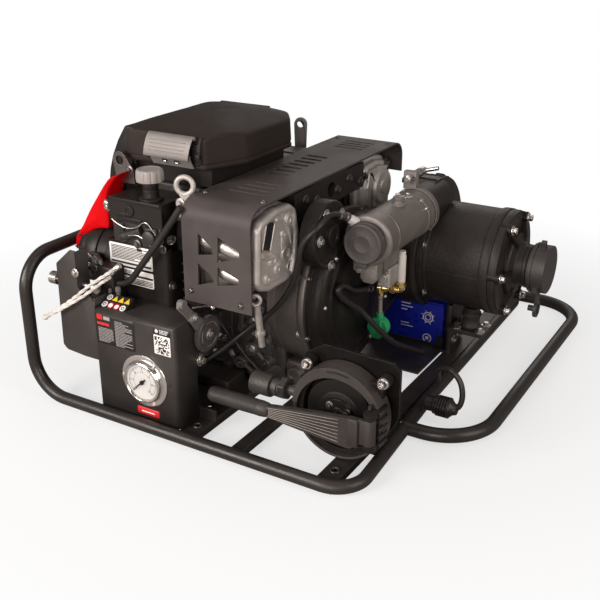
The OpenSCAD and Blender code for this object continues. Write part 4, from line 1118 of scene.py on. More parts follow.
def port_cover_rear():
    """the front outline mirrored to the back, rising in three steps"""
    mirrored = [(-181 - y, z - 2) for y, z in PORT_CORNERS][::-1]
    outline = resample(rounded(mirrored, 12, 6), 150)
    steps = [(0, 8), (0, 14), (0.7, 16), (2.4, 17.2), (6, 17.4), (7, 18.2), (7.4, 19.4),
             (7.4, 24), (8.1, 26), (9.8, 27.2), (14, 27.4), (15.2, 28.4), (15.6, 30), (15.6, 33),
             (16.4, 34.6), (18.2, 35), (24, 35)]
    hub = [(0, 34), (30, 34.4), (30, 38), (28.6, 39.8), (24, 40.2), (22, 39), (12, 39),
           (10.6, 41), (0, 41.6)]
    made = piece("port_cover_shell_rear", "alloy_bright", relief(outline, steps, side_point),
                 lathe(hub, along_x(92, 288), 56), smooth=40)
    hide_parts("port_cover_rear")
    piece("cover_bolts", "bolt_dark",
          bolts(RIGHT, 8, 5, (17.2, 44, 240), (17.2, 126, 248), (27.2, 122, 322),
                (27.2, 40, 316), (34.8, -134, 321), (34.8, -69, 321), (34.8, -30, 330),
                (34.8, -168, 330), (34.8, 10, 316)))


def stay_tube():
    """eye with its tube below the front cover"""
    piece("stay_tube", "alloy_cast",
          torus(7.2, 2.8, facing((40, -316, 222), (0.5, -0.86, 0.1)), 32, 10),
          lathe([(0, -4), (4.6, -3), (5, 0), (5, 44), (7.5, 45), (7.5, 50), (5, 51), (5, 70),
                 (0, 70)], facing((40, -312, 214), (0.0, 0.16, -1)), 24))


# ---------------------------------------------------------------- exhaust, behind the guard
def exhaust():
    piece("exhaust_pipes", "bare_alloy",
          tube([(-64, -300, 318), (-50, -313, 300), (-20, -316, 296), (8, -315, 288),
                (26, -306, 276)], 11.5, 20),
          tube([(-66, -300, 246), (-40, -314, 262), (-10, -315, 254), (20, -312, 246),
                (32, -300, 240)], 10.5, 20),
          box((-62, -309, 222), (-4, -304, 312), 1.5, 2))
    piece("exhaust_shield", "exhaust",
          [box((x, -316, 212), (x + 14, -306, 330), 2, 2) for x in (-66, 12)],
          [box((-66, -303, 214 + 14 * i), (30, -299, 220 + 14 * i), 1.2, 1) for i in range(8)])
    piece("guard_screws", "bolt_dark",
          [buttonscrew(at, axis, 9, 3.4)
           for at, axis in (((26, -332, 216), FRONT), ((-60, -332, 222), FRONT),
                            ((-60, 155, 320), BACK), ((30, 155, 320), BACK))],
          [buttonscrew((x, y, 357), UP, 8, 2.6)
           for x, y in ((-62, -286), (36, -286), (-62, 110), (36, 110))])


# ---------------------------------------------------------------- hand primer
def primer_arm():
    fan = rounded([(78, 65.5), (78, 82.5), (145, 93), (226, 103.4), (226, 64.6), (214, 55.4),
                   (145, 60)], [2, 2, 30, 4, 6, 8, 40], 5)
    lever = piece("primer_fan", "primer_paint", prism(fan, 345.0, 355.6, ON_FRONT, 2.4, 3),
                  box((210, -357.4, 60), (226, -345, 102.6), 2.2, 2),
                  lathe([(0, 64.6), (8.6, 64.6), (9.2, 65.4), (9.2, 102.4), (8.6, 103.4),
                         (0, 103.4)], upright(238, -345), 32),
                  box((224, -353.6, 65), (240, -346, 103), 1.6, 2),
                  body="primer_arm", smooth=36)
    # ribbed grip
    profile = [(0, -20), (7.5, -19.6), (9.8, -18.4), (10.8, -16)]
    h = -14.0
    while h < 60:
        r = 11.1 + 0.4 * math.sin((h + 14) / 74 * math.pi)
        profile += [(r - 0.2, h), (r + 0.55, h + 0.6), (r + 0.55, h + 1.2), (r - 0.2, h + 1.8)]
        h += 2.6
    profile += [(10.8, 62), (11.6, 63), (11.8, 70), (11.2, 76), (10.4, 80), (8.4, 83.4), (0, 84)]
    piece("primer_grip", "rubber_cap", lathe(profile, along_x(-350, 74), 44),
          body="primer_arm", smooth=60)
    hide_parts("primer_lever")
    # thin ridges across the fan, coloured light as a painted highlight
    ridges = []
    for i in range(7):
        t = i / 6
        a = Vector((82, -355.8, 67 + 14 * t))
        b = Vector((196, -355.9, 61.5 + 34.5 * t))
        ridges.append(sweep([a, a.lerp(b, 0.5) + Vector((0, 0, 0.8 * (1 - t))), b], 0.42, 6))
    piece("primer_fan_ridges", "ridge_painted_highlight", ridges, body="primer_arm")


def primer_arch():
    """arch plate over the ring, with its slot"""
    outer_radius = 70.4
    n = 56
    inner, outer = [], []
    for i in range(n + 1):
        width = 12.5 * math.sin(math.pi * (0.12 + 0.76 * i / n)) + 2.5
        inner.append(around(PRIMER, outer_radius - width, 6 + 172 * i / n))
        outer.append(around(PRIMER, outer_radius, 6 + 172 * i / n))
    ring = [(70.6, 298), (70.6, 322), (70.0, 325.4), (67, 325.6), (66, 324), (65.6, 312),
            (66, 298)]
    piece("primer_arch", "arch_powder", prism(inner + outer[::-1], 325.0, 328.2, ON_FRONT, 0.8, 2),
          lathe(ring, from_front(*PRIMER), 96), smooth=36)
    slot = [around(PRIMER, 66.4, 74 + 30 * i / 16) for i in range(17)]
    slot += [around(PRIMER, 63.4, 74 + 30 * i / 16) for i in range(16, -1, -1)]
    # thin black plate standing in for the slot: painted shade
    piece("primer_arch_slot_painted_shade", "needle", prism(slot, 327.6, 328.5, ON_FRONT))


def primer_inside():
    """bellows plate with hub, nuts, and the bolts and hinge ribs round it"""
    piece("primer_bellows", "deep_black",
          lathe([(49.4, 304), (49.4, 307), (48.6, 310.6), (47, 311.6), (45, 309.4),
                 (42.6, 308.6), (40, 313), (36, 318), (30, 320.6), (24, 321), (22, 324.6),
                 (10, 325), (9, 326.6), (0, 327)], from_front(*PRIMER), 80), body="primer_piston")
    nuts = [around(PRIMER, 16, a) for a in (20, 140, 260)]
    piece("primer_nuts", "bolt_dark", bolts(FRONT, 6.5, 4, *((x, -324.6, z) for x, z in nuts)),
          body="primer_piston")
    pad = [(0, 311), (8.4, 311), (8.4, 314.5), (7.6, 316), (0, 316)]
    piece("primer_bolts", "zinc",
          [[lathe(pad, from_front(x, 143), 28), capscrew((x, -316, 143), FRONT, 9.5, 6)]
           for x in (123, 241)],
          bolts(FRONT, 9, 5, (118, -295, 40), (222, -295, 44)))
    piece("primer_hinge_ribs", "cast_black",
          [box((244, -336.4, z - 3), (250.4, -312, z + 3), 1, 1) for z in (60, 72, 84, 96, 108)],
          boxes(((231, -336.5, 50), (235, -311, 118), 1.2, 2),
                ((224, -318, 50), (246, -311, 56), 1.2, 2)))


def primer_valve():
    piece("primer_valve_body", "cast_dark",
          lathe([(0, 27), (14, 27), (16.4, 28), (17.4, 30), (17.4, 44), (16.6, 45), (16.6, 47),
                 (17.4, 48), (17.4, 58), (16.4, 60.4), (12, 61), (12, 66), (13.4, 67),
                 (13.4, 71), (11.6, 72), (11.6, 77), (0, 77)], along_x(-304, 86), 48), smooth=34)
    piece("primer_valve_nut", "bolt_dark", hexbolt((76.4, -304, 88), RIGHT, 30, 11.4, washer=False))


# ---------------------------------------------------------------- hoses, cables and cord
def hoses():
    upper = [(99, -160, 312), (92, -190, 322), (90, -226, 313), (72, -240, 288), (58, -235, 236),
             (24, -233, 178), (-30, -240, 128), (-70, -290, 90), (-112, -328, 72)]
    lower = [(97, -66, 165), (97, -120, 180), (97, -164, 203), (97, -177, 200), (97, -164, 184),
             (106, -116, 146), (122, -92, 112), (140, -60, 76), (152, -12, 46), (158, 20, 28)]
    made = piece("hose_lines", "hose", tube(upper, 4.1, 16, steps=12),
                 tube(lower, 4.6, 16, steps=12), smooth=60)
    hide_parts("hoses")


def cables():
    panel_cable = [(-70, -334, 346), (-84, -335, 326), (-110, -335, 292), (-150, -335, 242),
                   (-172, -335, 216), (-190, -334, 206.5), (-208, -332, 206)]
    plug_cable = [(276, -138, 30), (286, -137, 34), (290, -134, 50), (284, -130, 72),
                  (270, -128, 86), (252, -118, 84), (236, -100, 66), (232, -86, 44)]
    plug = [(0, 243), (10, 243), (12, 244.4), (12, 256), (14.6, 258), (14.6, 262)]
    for i in range(5):
        h = 263 + 4.2 * i
        plug += [(16.4, h), (16.4, h + 2.2), (14.0, h + 3), (14.0, h + 3.8)]
    plug += [(13, 285), (10, 288), (8, 293.6), (0, 294)]
    made = piece("cable_lines", "hose", tube(panel_cable, 5.0, 16, steps=12),
                 tube(plug_cable, 4.4, 14, steps=12),
                 lathe(plug, facing((-9, -138, 29), RIGHT), 40),
                 box((234.5, -143, 23), (241, -133, 35), 0.8, 1), smooth=50)
    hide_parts("wiring")


def hose_ends():
    sleeve = [(4.3, -16), (5.4, -15), (5.4, -2), (6.8, -1), (6.8, 5), (5, 6), (0, 6)]
    piece("hose_sleeves", "bolt_dark",
          lathe(sleeve, facing((99, -160, 312), (0.2, 0.9, -0.3)), 20),
          lathe(sleeve, facing((97, -66, 165), (0, 1, -0.2)), 20))
    piece("hose_white_fitting", "white_fitting",
          lathe([(0, 0), (7.6, 0), (8.4, 1), (8.4, 5), (7.2, 6), (7.2, 11), (6.2, 12.5), (5, 18),
                 (4.4, 22), (0, 22)], facing((110, -146, 300), (-0.55, -0.55, 0.6)), 28))


def starter_cord():
    """two twisted strands of three-lobed section, and their ends"""
    lobes = []
    for i in range(18):
        t = 2 * math.pi * i / 18
        r = 1.0 + 0.22 * math.cos(3 * t)
        lobes.append((r * math.cos(t), r * math.sin(t)))
    strands = ([(-166, -372, 248), (-169.5, -382, 244), (-203, -387, 220.5), (-241, -388, 190),
                (-275, -388, 166), (-303, -388, 148)],
               [(-176, -372, 233), (-182, -382, 228), (-220, -386, 199), (-262, -390, 171),
                (-303, -391, 146)])
    piece("starter_cord", "cord",
          [tube(points, 2.35, steps=14, section=lobes, twist=0.42) for points in strands],
          lathe([(0, -2), (3.6, -1), (4.6, 1), (4.4, 4), (3.2, 6), (0, 6.5)],
                facing((-301, -389.5, 147.5), (-0.85, -0.05, -0.5)), 20), smooth=70)
    piece("cord_ferrule", "zinc",
          lathe([(0, 0), (4.2, 0), (4.8, 1), (4.8, 9), (4.0, 10), (4.0, 12), (4.8, 13),
                 (4.8, 21), (4.2, 22), (0, 22)],
                facing((-160, -368, 253), (-0.62, -0.34, -0.56)), 24))


# ---------------------------------------------------------------- filler cap and eyes
def filler_cap():
    # radius, z, depth of the twelve grip hollows
    levels = ((17.5, 367.4, 0), (20.2, 368.2, 0.5), (20.9, 370.5, 1), (20.4, 380, 1),
              (19.9, 382.6, 1), (19.0, 384.8, 0.8), (17.6, 385.6, 0.2), (15, 385.6, 0),
              (14.4, 385.0, 0), (4, 385.0, 0))
    n = 144
    loops = []
    for r, z, depth in levels:
        loop = []
        for i in range(n):
            t = 2 * math.pi * i / n
            reach = r - depth * 1.25 * (1 - abs(math.cos(6 * t)) ** 0.6)
            loop.append((FILLER[0] + reach * math.cos(t), FILLER[1] + reach * math.sin(t), z))
        loops.append(loop)
    made = piece("filler_cap_shell", "cap_grey", skin(loops),
                 lathe([(0, 358), (7.6, 358), (7.6, 368), (0, 368)], upright(*FILLER), 32),
                 body="filler_lid", smooth=34)
    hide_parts("filler_cap")


def eye_plate(centre, radius, hole_radius, foot, y0, y1, matrix=None):
    """flat eye in the x-z plane: a round head run out to the foot corners, with a hole"""
    n = 90

    def angle(q):
        return math.atan2(q[1] - centre[1], q[0] - centre[0])

    # both loops start at the same angle, so that they pair up
    outer = sorted(resample(hull(circle(*centre, radius, 48) + foot), n), key=angle)
    hole = sorted(circle(*centre, hole_radius, n), key=angle)
    return skin([[(x, y, z) for x, z in loop]
                 for loop, y in ((outer, y0), (outer, y1), (hole, y1), (hole, y0))],
                matrix, closed=True)


def lifting_eyes():
    turned = Matrix.Translation((-86, -302, 367)) @ Matrix.Rotation(math.radians(20), 4, "Z")
    # half width, half depth, height
    stem = ((8, 3.4, -13), (5.2, 3.2, -18), (4.6, 3.2, -26), (5.4, 3.4, -36), (6, 3.4, -40))
    made = piece("lifting_eye_front", "eye_steel",
                 torus(12.6, 3.9, turned, 56, 14, depth=3.6, standing=True),
                 skin([[(-w, -d, z), (w, -d, z), (w, d, z), (-w, d, z)] for w, d, z in stem],
                      turned),
                 box((-98, -306.4, 319), (-76, -297, 330), 1.5, 2),
                 hexbolt((-91.8, -306, 341), FRONT, 8, 5),
                 hexbolt((-82, -306.2, 325), FRONT, 7, 4), smooth=50)
    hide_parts("lifting_eyes")
    piece("lifting_eye_left", "bolt_dark",
          eye_plate((-231, 379), 13.5, 7.2, [(-205, 366), (-204, 345), (-238, 345)], -269, -273),
          hexbolt((-212, -273, 366), FRONT, 7, 4), smooth=40)
    turned = Matrix.Translation((-123, 84, 380)) @ Matrix.Rotation(math.radians(25), 4, "Z")
    piece("lifting_eye_rear", "steel_dull",
          eye_plate((0, 0), 11.5, 6.2, [(-9, -78), (9, -78)], -2.5, 2.5, turned), smooth=40)


def filler_box_details():
    """thread collar and boss under the cap, strips and a round boss on the box"""
    piece("filler_box_details", "black_plastic",
          lathe([(11.2, 340), (18, 340), (18, 342.6), (16.4, 344), (12.4, 344.6), (11.8, 352),
                 (12.3, 352.6), (12.3, 354), (11.6, 354.6), (11.6, 360), (12.1, 361),
                 (12.1, 362.4), (11.4, 363), (11.4, 367), (9, 367)], upright(*FILLER), 48),
          boxes(((-209.5, -327.4, 334), (-113.5, -325.4, 339.6), 1, 2),
                ((-196, -327.2, 312), (-178, -325.4, 318), 0.8, 2),
                ((-186, -328, 306), (-150, -325, 312), 1.2, 2)),
          lathe([(0, 0), (9, 0), (9, 2), (7.6, 3.2), (5, 3.2), (4.4, 2), (0, 2)],
                facing((-172, -325.6, 322), FRONT), 28))


# ---------------------------------------------------------------- latch
def sheet(profile, x0, x1, thickness, skew=0.0):
    """bent sheet: (y, z) profile from x0 to x1, leaning sideways by skew per mm of drop"""
    points = [Vector(q) for q in profile]
    outer, inner = [], []
    for i, p in enumerate(points):
        d = (points[min(len(points) - 1, i + 1)] - points[max(0, i - 1)]).normalized()
        outer.append((p.x, p.y))
        inner.append((p.x - d.y * thickness, p.y + d.x * thickness))
    loop = outer + inner[::-1]
    top = max(z for _, z in loop)
    return skin([[(x + skew * (top - z), y, z) for y, z in loop]
                 for x in (x0, x0 + 0.4, x1 - 0.4, x1)])


def latch():
    handle = [(-262.6, 428.4), (-265.5, 428.2), (-268.6, 426.2), (-271.6, 421.6),
              (-274.2, 415.8), (-276.4, 409), (-277.8, 402), (-278.2, 397), (-277.4, 394.4)]
    hook = [(-273.4, 401), (-272.0, 395), (-268.6, 389), (-264.6, 383.6), (-263.2, 380.4)]
    ridges = [(-277.7 + 0.42 * i * i, 404 + 5.2 * i) for i in range(4)]
    made = piece("latch_shell", "latch_grey",
                 sheet([(p[0], p[1]) for p in spline([(y, z, 0) for y, z in handle], 3)],
                       -176, -94, 1.6, -0.1),
                 sheet(hook, -172, -97, 1.4, -0.05),
                 lathe([(0, -84), (2.4, -84), (2.4, 0), (0, 0)],
                       facing((-93, -264.4, 425.4), RIGHT), 20),
                 [sweep([(-170, y, z), (-104, y, z)], 0.35, 6) for y, z in ridges],
                 body="latch", smooth=40)
    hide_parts("latch_front")
    slots = (-146, -124)
    # black boxes standing in for the slot openings: painted shade
    piece("latch_slot_painted_shade", "needle",
          [box((x - 4, -271.4, 389.2), (x + 4, -269.0, 391.6), 0.4, 1) for x in slots],
          body="latch")
    # bright steel strips on the slot lips of the grey latch sheet: painted highlight
    piece("latch_slot_lip_painted_highlight", "gauge_steel",
          [box((x - 4.4, -271.8, 387.6), (x + 4.4, -269.2, 389.2), 0.5, 1) for x in slots],
          body="latch")


# ---------------------------------------------------------------- delivery body, cap, drain
def delivery_body():
    axis = from_front(*DELIVERY)
    made = piece(
        "delivery_shell", "delivery",
        lathe([(27, 146.4), (35.6, 146.6), (38.2, 145.6), (39.4, 143.6), (39.4, 138),
               (38.6, 136.4), (37.2, 135.4), (36.8, 128), (36.9, 60), (37.1, 10), (37.2, -6),
               (37.6, -10), (37.9, -12), (37.9, -24), (37, -25), (31.2, -25), (31.2, 20),
               (27, 20), (27, 146.4)], axis, 120),
        # collars
        lathe([(36.7, 112), (37.6, 111), (37.6, 106), (36.8, 105)], axis, 120),
        lathe([(36.9, 4), (38, 3), (38, -3), (37.1, -4)], axis, 120),
        # two lugs below the cap and one under the body
        prism(rounded([(115, 212), (115, 246), (143, 246), (143, 212), (137, 205), (121, 205)],
                      [4, 0, 0, 4, 4, 4], 4), 118, 140, ON_FRONT, 1.4, 2),
        prism(rounded([(104, 225), (104, 250), (118, 250), (118, 221), (112, 219)], 3, 4),
              134, 143, ON_FRONT, 1.2, 2),
        prism(rounded([(119, 214), (119, 244), (139, 244), (139, 214)], 3, 3),
              50, 104, ON_FRONT, 1.6, 2),
        # knob on top
        lathe([(10, 308), (12, 309.4), (12, 312), (9.4, 313), (8.6, 318), (9.4, 319.4),
               (9.4, 321.4), (8, 322.6), (0, 323)], upright(137, -58), 40), smooth=40)
    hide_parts("discharge_body")
    piece("delivery_bolts", "zinc", hexbolt((120, -24, 311.2), (-0.2, 0, 1), 8, 4),
          hexbolt((134, -18, 311.6), (0.1, 0, 1), 8, 4),
          capscrew((152, -8, 304), (0.62, 0, 0.78), 8, 4),
          capscrew((161, -8, 293), (0.85, 0, 0.5), 7, 4),
          hexbolt((111, -143, 234), FRONT, 7, 4),
          hexbolt((129, -104.4, 224), FRONT, 8, 4))


def delivery_cap():
    spokes = []
    for i in range(9):
        x, z = around(DELIVERY, 19, 40 * i)
        outward = (x - DELIVERY[0], 0, z - DELIVERY[1])
        spokes.append(box((-2.4, -0.8, 0), (2.4, 0.8, 0.5), 0.3, 1,
                          facing((x, -164.6, z), FRONT, Vector(outward).normalized())))
    made = piece("delivery_cap_shell", "cap_dark",
                 lathe([(0, 132), (26, 132), (26, 148), (30, 148.4), (31.6, 149.4),
                        (32.2, 151.4), (32.2, 154), (31.6, 156), (30.2, 156.6), (30.0, 158),
                        (31.2, 159), (31.6, 160.6), (31.4, 163), (30.2, 165), (28.4, 165.6),
                        (27.4, 165.0), (26.6, 164.7), (14, 164.8), (13.4, 165.1),
                        (12.6, 165.1), (12, 164.7), (0, 164.7)], from_front(*DELIVERY), 96),
                 box((115, -160, 234), (134, -149, 247), 1.6, 2), spokes,
                 body="outlet_cap", smooth=36)
    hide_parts("discharge_cap")


def drain():
    """block, white riser, brass elbow and stem under the delivery body"""
    block = piece("drain_block", "alloy_cast",
                  prism(rounded([(119, 178), (119, 212), (139, 212), (139, 178)], 3, 3),
                        36, 84, ON_FRONT, 1.6, 2),
                  lathe([(0, 84), (7, 84), (7, 90), (6, 91), (0, 91)], from_front(129, 196), 24),
                  [capscrew((x, -84, z), FRONT, 5.4, 3)
                   for x, z in ((122.6, 206), (135.4, 206), (122.6, 184))], smooth=36)
    riser = piece("drain_riser", "white_fitting",
                  lathe([(0, 166), (6.2, 166), (6.4, 167), (6.4, 224), (5.4, 226), (5.4, 232),
                         (0, 232)], upright(143, -48), 28))
    along = Vector((-0.97, -0.22, 0)).normalized()
    brass_parts = [
        sweep([(143, -48, 176), (143, -48, 168), (142.2, -48.3, 165.4), (139, -49, 164.6),
               (118, -52, 164.8)], 5.2, 20),
        hexbolt((143, -48, 171.4), UP, 15, 5, washer=False),
        hexbolt((134, -49.6, 164.7), along, 15, 9, washer=False),
        lathe([(0, 0), (6.6, 0), (7, 1), (7, 9), (6, 10), (5.2, 11), (5.2, 17), (4.4, 18),
               (0, 18)], facing((122, -51.4, 164.7), along), 28),
        hexbolt((110, -53.2, 164), DOWN, 12, 8, washer=False),
        lathe([(0, 0), (4.2, 0), (4.4, 8), (0, 8)], facing((110, -53.2, 158), DOWN), 20)]
    shift = Matrix.Translation((4.2, -9.2, 4.1))
    elbow = piece("drain_elbow", "brass", shape(gather(brass_parts), shift), smooth=36)
    stem = piece("drain_stem", "steel_dull",
                 lathe([(0, 0), (4.0, 0), (4.6, 1), (4.6, 6), (3.8, 7), (3.8, 26), (4.4, 28),
                        (4.4, 33), (0, 33)], facing((110, -53.4, 151), (0.06, -0.12, -1)), 20),
                 smooth=36)
    for made in (block, riser, elbow, stem):
        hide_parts("drain_fitting")


# ---------------------------------------------------------------- throttle
def throttle():
    knob = [(0, -55.6), (26.6, -55.6), (28, -54.4), (28, -52), (27, -51), (27, -48.6),
            (26, -47.2), (24, -46.4), (22.6, -46.8), (14, -46.8), (13, -46.2), (11, -46.2),
            (10, -46.8), (0, -46.8)]
    made = piece("throttle_knob", "steel_plastic", lathe(knob, along_x(*THROTTLE), 72),
                 [box((-1.0, -1.2, 0), (1.0, 1.6, 7.0), 0.5, 1,
                      facing((-55.2, *around(THROTTLE, 27.4, 9 * i)), RIGHT, radial(9 * i + 90)))
                  for i in range(40)], body="throttle", smooth=34)
    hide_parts("throttle_disc")
    # raised arcs: radius, first and last angle
    arcs = ((19, 20, 110), (19, 150, 205), (8, 40, 300), (19, 250, 330))
    n = 24
    piece("throttle_marks", "ink_grey",
          [sweep([(-46.6, *around(THROTTLE, r, a0 + (a1 - a0) * i / n)) for i in range(n + 1)],
                 0.45, 6) for r, a0, a1 in arcs], body="throttle")
    arm = rounded([(-336, 160), (-350, 182), (-372, 206), (-378, 212), (-372, 220), (-366, 221),
                   (-342, 194), (-318, 172), (-314, 160)], [6, 4, 3, 4, 4, 4, 6, 8, 8], 4)
    piece("throttle_lever", "lever_grey", prism(arm, -53.4, -49.4, ON_SIDE, 0.8, 2),
          lathe([(0, -53.6), (7.4, -53.6), (8, -53), (8, -45), (7, -43.8), (0, -43.8)],
                along_x(-346, 187), 32),
          lathe([(0, -54), (6.4, -54), (7, -53), (7, -45), (6, -44), (0, -44)],
                along_x(-369, 216), 32), body="throttle", smooth=36)
    piece("throttle_screws", "zinc", hexbolt((-46.4, *THROTTLE), RIGHT, 8, 4),
          hexbolt((-44, -346, 187), RIGHT, 6.5, 3), body="throttle")
    piece("throttle_rod", "zinc",
          sweep([(-44, -352, 205), (-42, -340, 203), (-38, -322, 199), (-33, -300, 194)], 1.3, 8),
          lathe([(0, -4.6), (2.6, -3.8), (4.2, -1.8), (4.6, 0), (4.2, 1.8), (2.6, 3.8),
                 (0, 4.6)], facing((-33, -318, 196.4), UP), 20))


# ---------------------------------------------------------------- red shroud
# edges of the sheet from top to bottom, as (x, z)
RED_LEFT = [(-207, 367.2), (-216, 364), (-226, 359.5), (-234.5, 354.5), (-246, 342),
            (-257.5, 327), (-268, 313), (-279, 298), (-288, 284), (-296, 271.5), (-305, 260),
            (-312.5, 249.4), (-313.4, 240), (-310.8, 230.5)]
RED_RIGHT = [(-207, 366.2), (-214, 361), (-222, 354), (-231.6, 343), (-239, 330), (-240.6, 310),
             (-241.8, 289.5), (-244, 275), (-254, 273.4), (-264, 270.6), (-274, 267),
             (-284, 261), (-291, 256.4), (-298, 250), (-306, 239), (-310.8, 230.0)]


def evenly(edge, n):
    """n evenly spaced points on a curve through the edge"""
    curve = spline([(x, z, 0) for x, z in edge], 6)
    reach = [0.0]
    for a, b in zip(curve, curve[1:]):
        reach.append(reach[-1] + (b - a).length)
    out = []
    j = 0
    for i in range(n):
        t = reach[-1] * i / (n - 1)
        while j < len(curve) - 2 and reach[j + 1] < t:
            j += 1
        w = (t - reach[j]) / max(1e-6, reach[j + 1] - reach[j])
        out.append(curve[j].lerp(curve[j + 1], min(1, max(0, w))))
    return out


def red_shroud():
    """domed sheet with a faint crease and edges turned back"""
    down, across = 44, 12
    part = bmesh.new()
    rows = []
    for left, right in zip(evenly(RED_LEFT, down), evenly(RED_RIGHT, down)):
        row = []
        for k in range(-1, across + 2):
            t = min(1.0, max(0.0, k / across))
            q = left.lerp(right, t)
            height = 0.0
            if 0 <= k <= across:
                crease = 1.2 * math.exp(-((t - 0.42) / 0.09) ** 2)
                height = 33.6 + 4.0 * math.sin(math.pi * t) ** 0.6 + crease
            row.append(part.verts.new((q.x, -262 - height, q.y)))
        rows.append(row)
    for a, b in zip(rows, rows[1:]):
        for k in range(across + 2):
            part.faces.new((a[k], a[k + 1], b[k + 1], b[k]))
    bmesh.ops.recalc_face_normals(part, faces=part.faces)
    # an open sheet may come out facing the back
    if sum(f.normal.y for f in part.faces if abs(f.normal.y) > 0.7) > 0:
        bmesh.ops.reverse_faces(part, faces=part.faces)
    made = piece("red_shell", "red_plastic", shape(part), smooth=44)
    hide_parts("red_shroud")
    piece("shroud_back", "black_plastic",
          boxes(((-284, -262, 250), (-236, -240, 300), 6, 3),
                ((-256, -258, 300), (-230, -238, 340), 5, 3)))
    piece("shroud_screws", "zinc",
          lathe([(0, 0), (5.6, 0), (5.6, 3), (4, 5), (2, 5.6), (0, 5.6)],
                facing((-238, -300, 318), (0, -1, 0.1)), 24),
          hexbolt((-236, -301, 312), FRONT, 7, 4))


# ---------------------------------------------------------------- recoil starter, intake and painted shade below the air cleaner
def starter():
    profile = [(0, -304), (40, -304), (46, -301), (50, -296), (51, -290), (51, -284),
               (53.6, -283), (54.4, -281), (54.4, -262), (53.6, -260), (51, -259), (51, -240),
               (54, -239), (54.4, -236), (54.4, -230), (53, -228), (0, -228)]
    piece("starter_body", "black_plastic", lathe(profile, along_x(*STARTER), 96),
          [box((-1.4, -1.2, -302), (1.4, 1.2, -262), 0.6, 1,
               facing((0, *around(STARTER, 52.4, a)), RIGHT, radial(a)))
           for a in range(0, 360, 20)], smooth=34)
    wheel = [(0, 318), (15, 318), (20, 319), (21, 320), (21, 322.4), (17.4, 325), (17.4, 328.4),
             (21, 331), (21, 333.4), (19.6, 334.6), (14, 335), (12, 333.6), (8, 333.6), (7, 335),
             (0, 335)]
    piece("cord_wheel", "cast_black", lathe(wheel, from_front(-254, 221), 56))
    arm = rounded([(-242, 246), (-228, 240), (-220, 220), (-224, 208), (-236, 210),
                   (-246, 232)], 5, 4)
    piece("cord_guide", "bolt_dark", prism(arm, 333, 338, ON_FRONT, 1.2, 2),
          tube([(-262, -336, 240), (-254, -338, 246), (-244, -339, 243), (-234, -339, 232),
                (-228, -339, 220)], 1.5),
          hexbolt((-254, -335, 221), FRONT, 9, 5),
          hexbolt((-233.4, -338, 227), FRONT, 11, 6),
          capscrew((-226, -338, 213), FRONT, 7, 4))


def panel_back_fittings():
    """small knob behind the panel and a pin beside it"""
    knob = upright(-189, -345)
    piece("panel_back_fittings", "lever_grey",
          lathe([(0, 196), (3.4, 196), (4.2, 197), (4.4, 198), (4.4, 203), (3.6, 205),
                 (2.2, 205.8), (0, 206)], knob, 32),
          lathe([(0, 186), (3, 186), (3.4, 188), (3.4, 197), (0, 197)], knob, 20),
          lathe([(0, 186), (2.6, 186), (3.0, 188), (3.0, 199), (2, 200), (0, 200)],
                upright(-204, -346), 20))


def carburettor():
    """bail wires and the diagonal body under the filler box"""
    piece("carburettor_wires", "zinc",
          tube([(-206, -327, 305), (-197.4, -328, 301), (-184, -328, 296.4),
                (-171, -328, 296.1), (-156, -328, 301), (-146, -328, 308.5), (-138, -328, 309),
                (-130, -327, 300), (-126, -325, 292)], 1.0),
          tube([(-176, -327.5, 284), (-158, -328, 287), (-144, -328, 282), (-134, -327, 274)],
               0.9))
    # the body wears the lighter black plastic as painted light
    piece("carburettor_body", "plastic_painted_lit",
          lathe([(0, 0), (6.6, 0), (7.4, 1.4), (7.4, 12), (6.6, 13), (6.6, 40), (8.4, 41),
                 (8.4, 47), (0, 47)],
                facing((-197, -321, 276), Vector((40, 0, 16.4)).normalized()), 32),
          boxes(((-214, -318, 266), (-122, -262, 304), 3, 2),
                ((-150, -323, 272), (-126, -300, 300), 3, 2),
                ((-206, -321, 286), (-190, -306, 300), 2, 2)),
          lathe([(0, 0), (11, 0), (11, 6), (9, 7.4), (0, 7.4)],
                facing((-138, -322.6, 286), FRONT), 32))
    piece("carburettor_bolts", "bolt_dark",
          bolts(FRONT, 7, 4, (-122, -320, 284), (-118, -320, 270), (-166, -320, 270)),
          hexbolt((-104, -316, 286), (0, -0.7, 0.7), 8, 4))


def intake():
    """dark bodies, partly intake shroud and partly painted shade, that fill the space below the air
    cleaner, with ribs
    """
    flank = rounded([(-229, 429), (-245, 405.5), (-257.5, 381), (-264.8, 359.6), (-268, 343),
                     (-268, 322), (-212, 322), (-212, 428)], [3, 30, 30, 30, 20, 4, 2, 2], 4)
    # dark boxes: part shroud, part painted shade filling the gaps under the cover
    piece("intake_shroud_and_shade_fill", "black_plastic",
          boxes(((-226, -256, 262), (-92, -216, 352), 6, 3),
                ((-242, -230, 228), (-60, 44, 352), 8, 3),
                ((-110, -300, 262), (-76, -226, 340), 6, 3),
                ((-100, -292, 150), (-72, -200, 262), 6, 3),
                ((-206, 30, 240), (-80, 118, 330), 8, 3)),
          [boxes(((-104 + 0.2 * i, -298, 158 + 14 * i), (-70, -206, 162 + 14 * i), 1, 1),
                 ((-238, -226 + 36 * i, 340), (-66, -220 + 36 * i, 353.6), 1, 1))
           for i in range(7)],
          box((-62, -196, 224), (6, 150, 346), 5, 2),
          [box((4, -190 + 38 * i, 228), (12, -186 + 38 * i, 342), 0.8, 1) for i in range(9)],
          boxes(((-66, -296, 344), (-40, 150, 352), 2, 1),
                ((-236, -344, 140), (-198, -296, 232), 4, 2)),
          prism(flank, 150, 258, ON_FRONT, 3.0, 3),
          box((-300, -300, 120), (-262, -262, 166), 4, 2))
    piece("intake_bolts", "bolt_dark",
          bolts(FRONT, 8, 4.5, (-88, -300, 276), (-98, -300, 318), (-84, -300, 330),
                (-86, -292, 240), (-86, -292, 224)),
          hexbolt((-106, -318, 214), RIGHT, 8, 4.5))


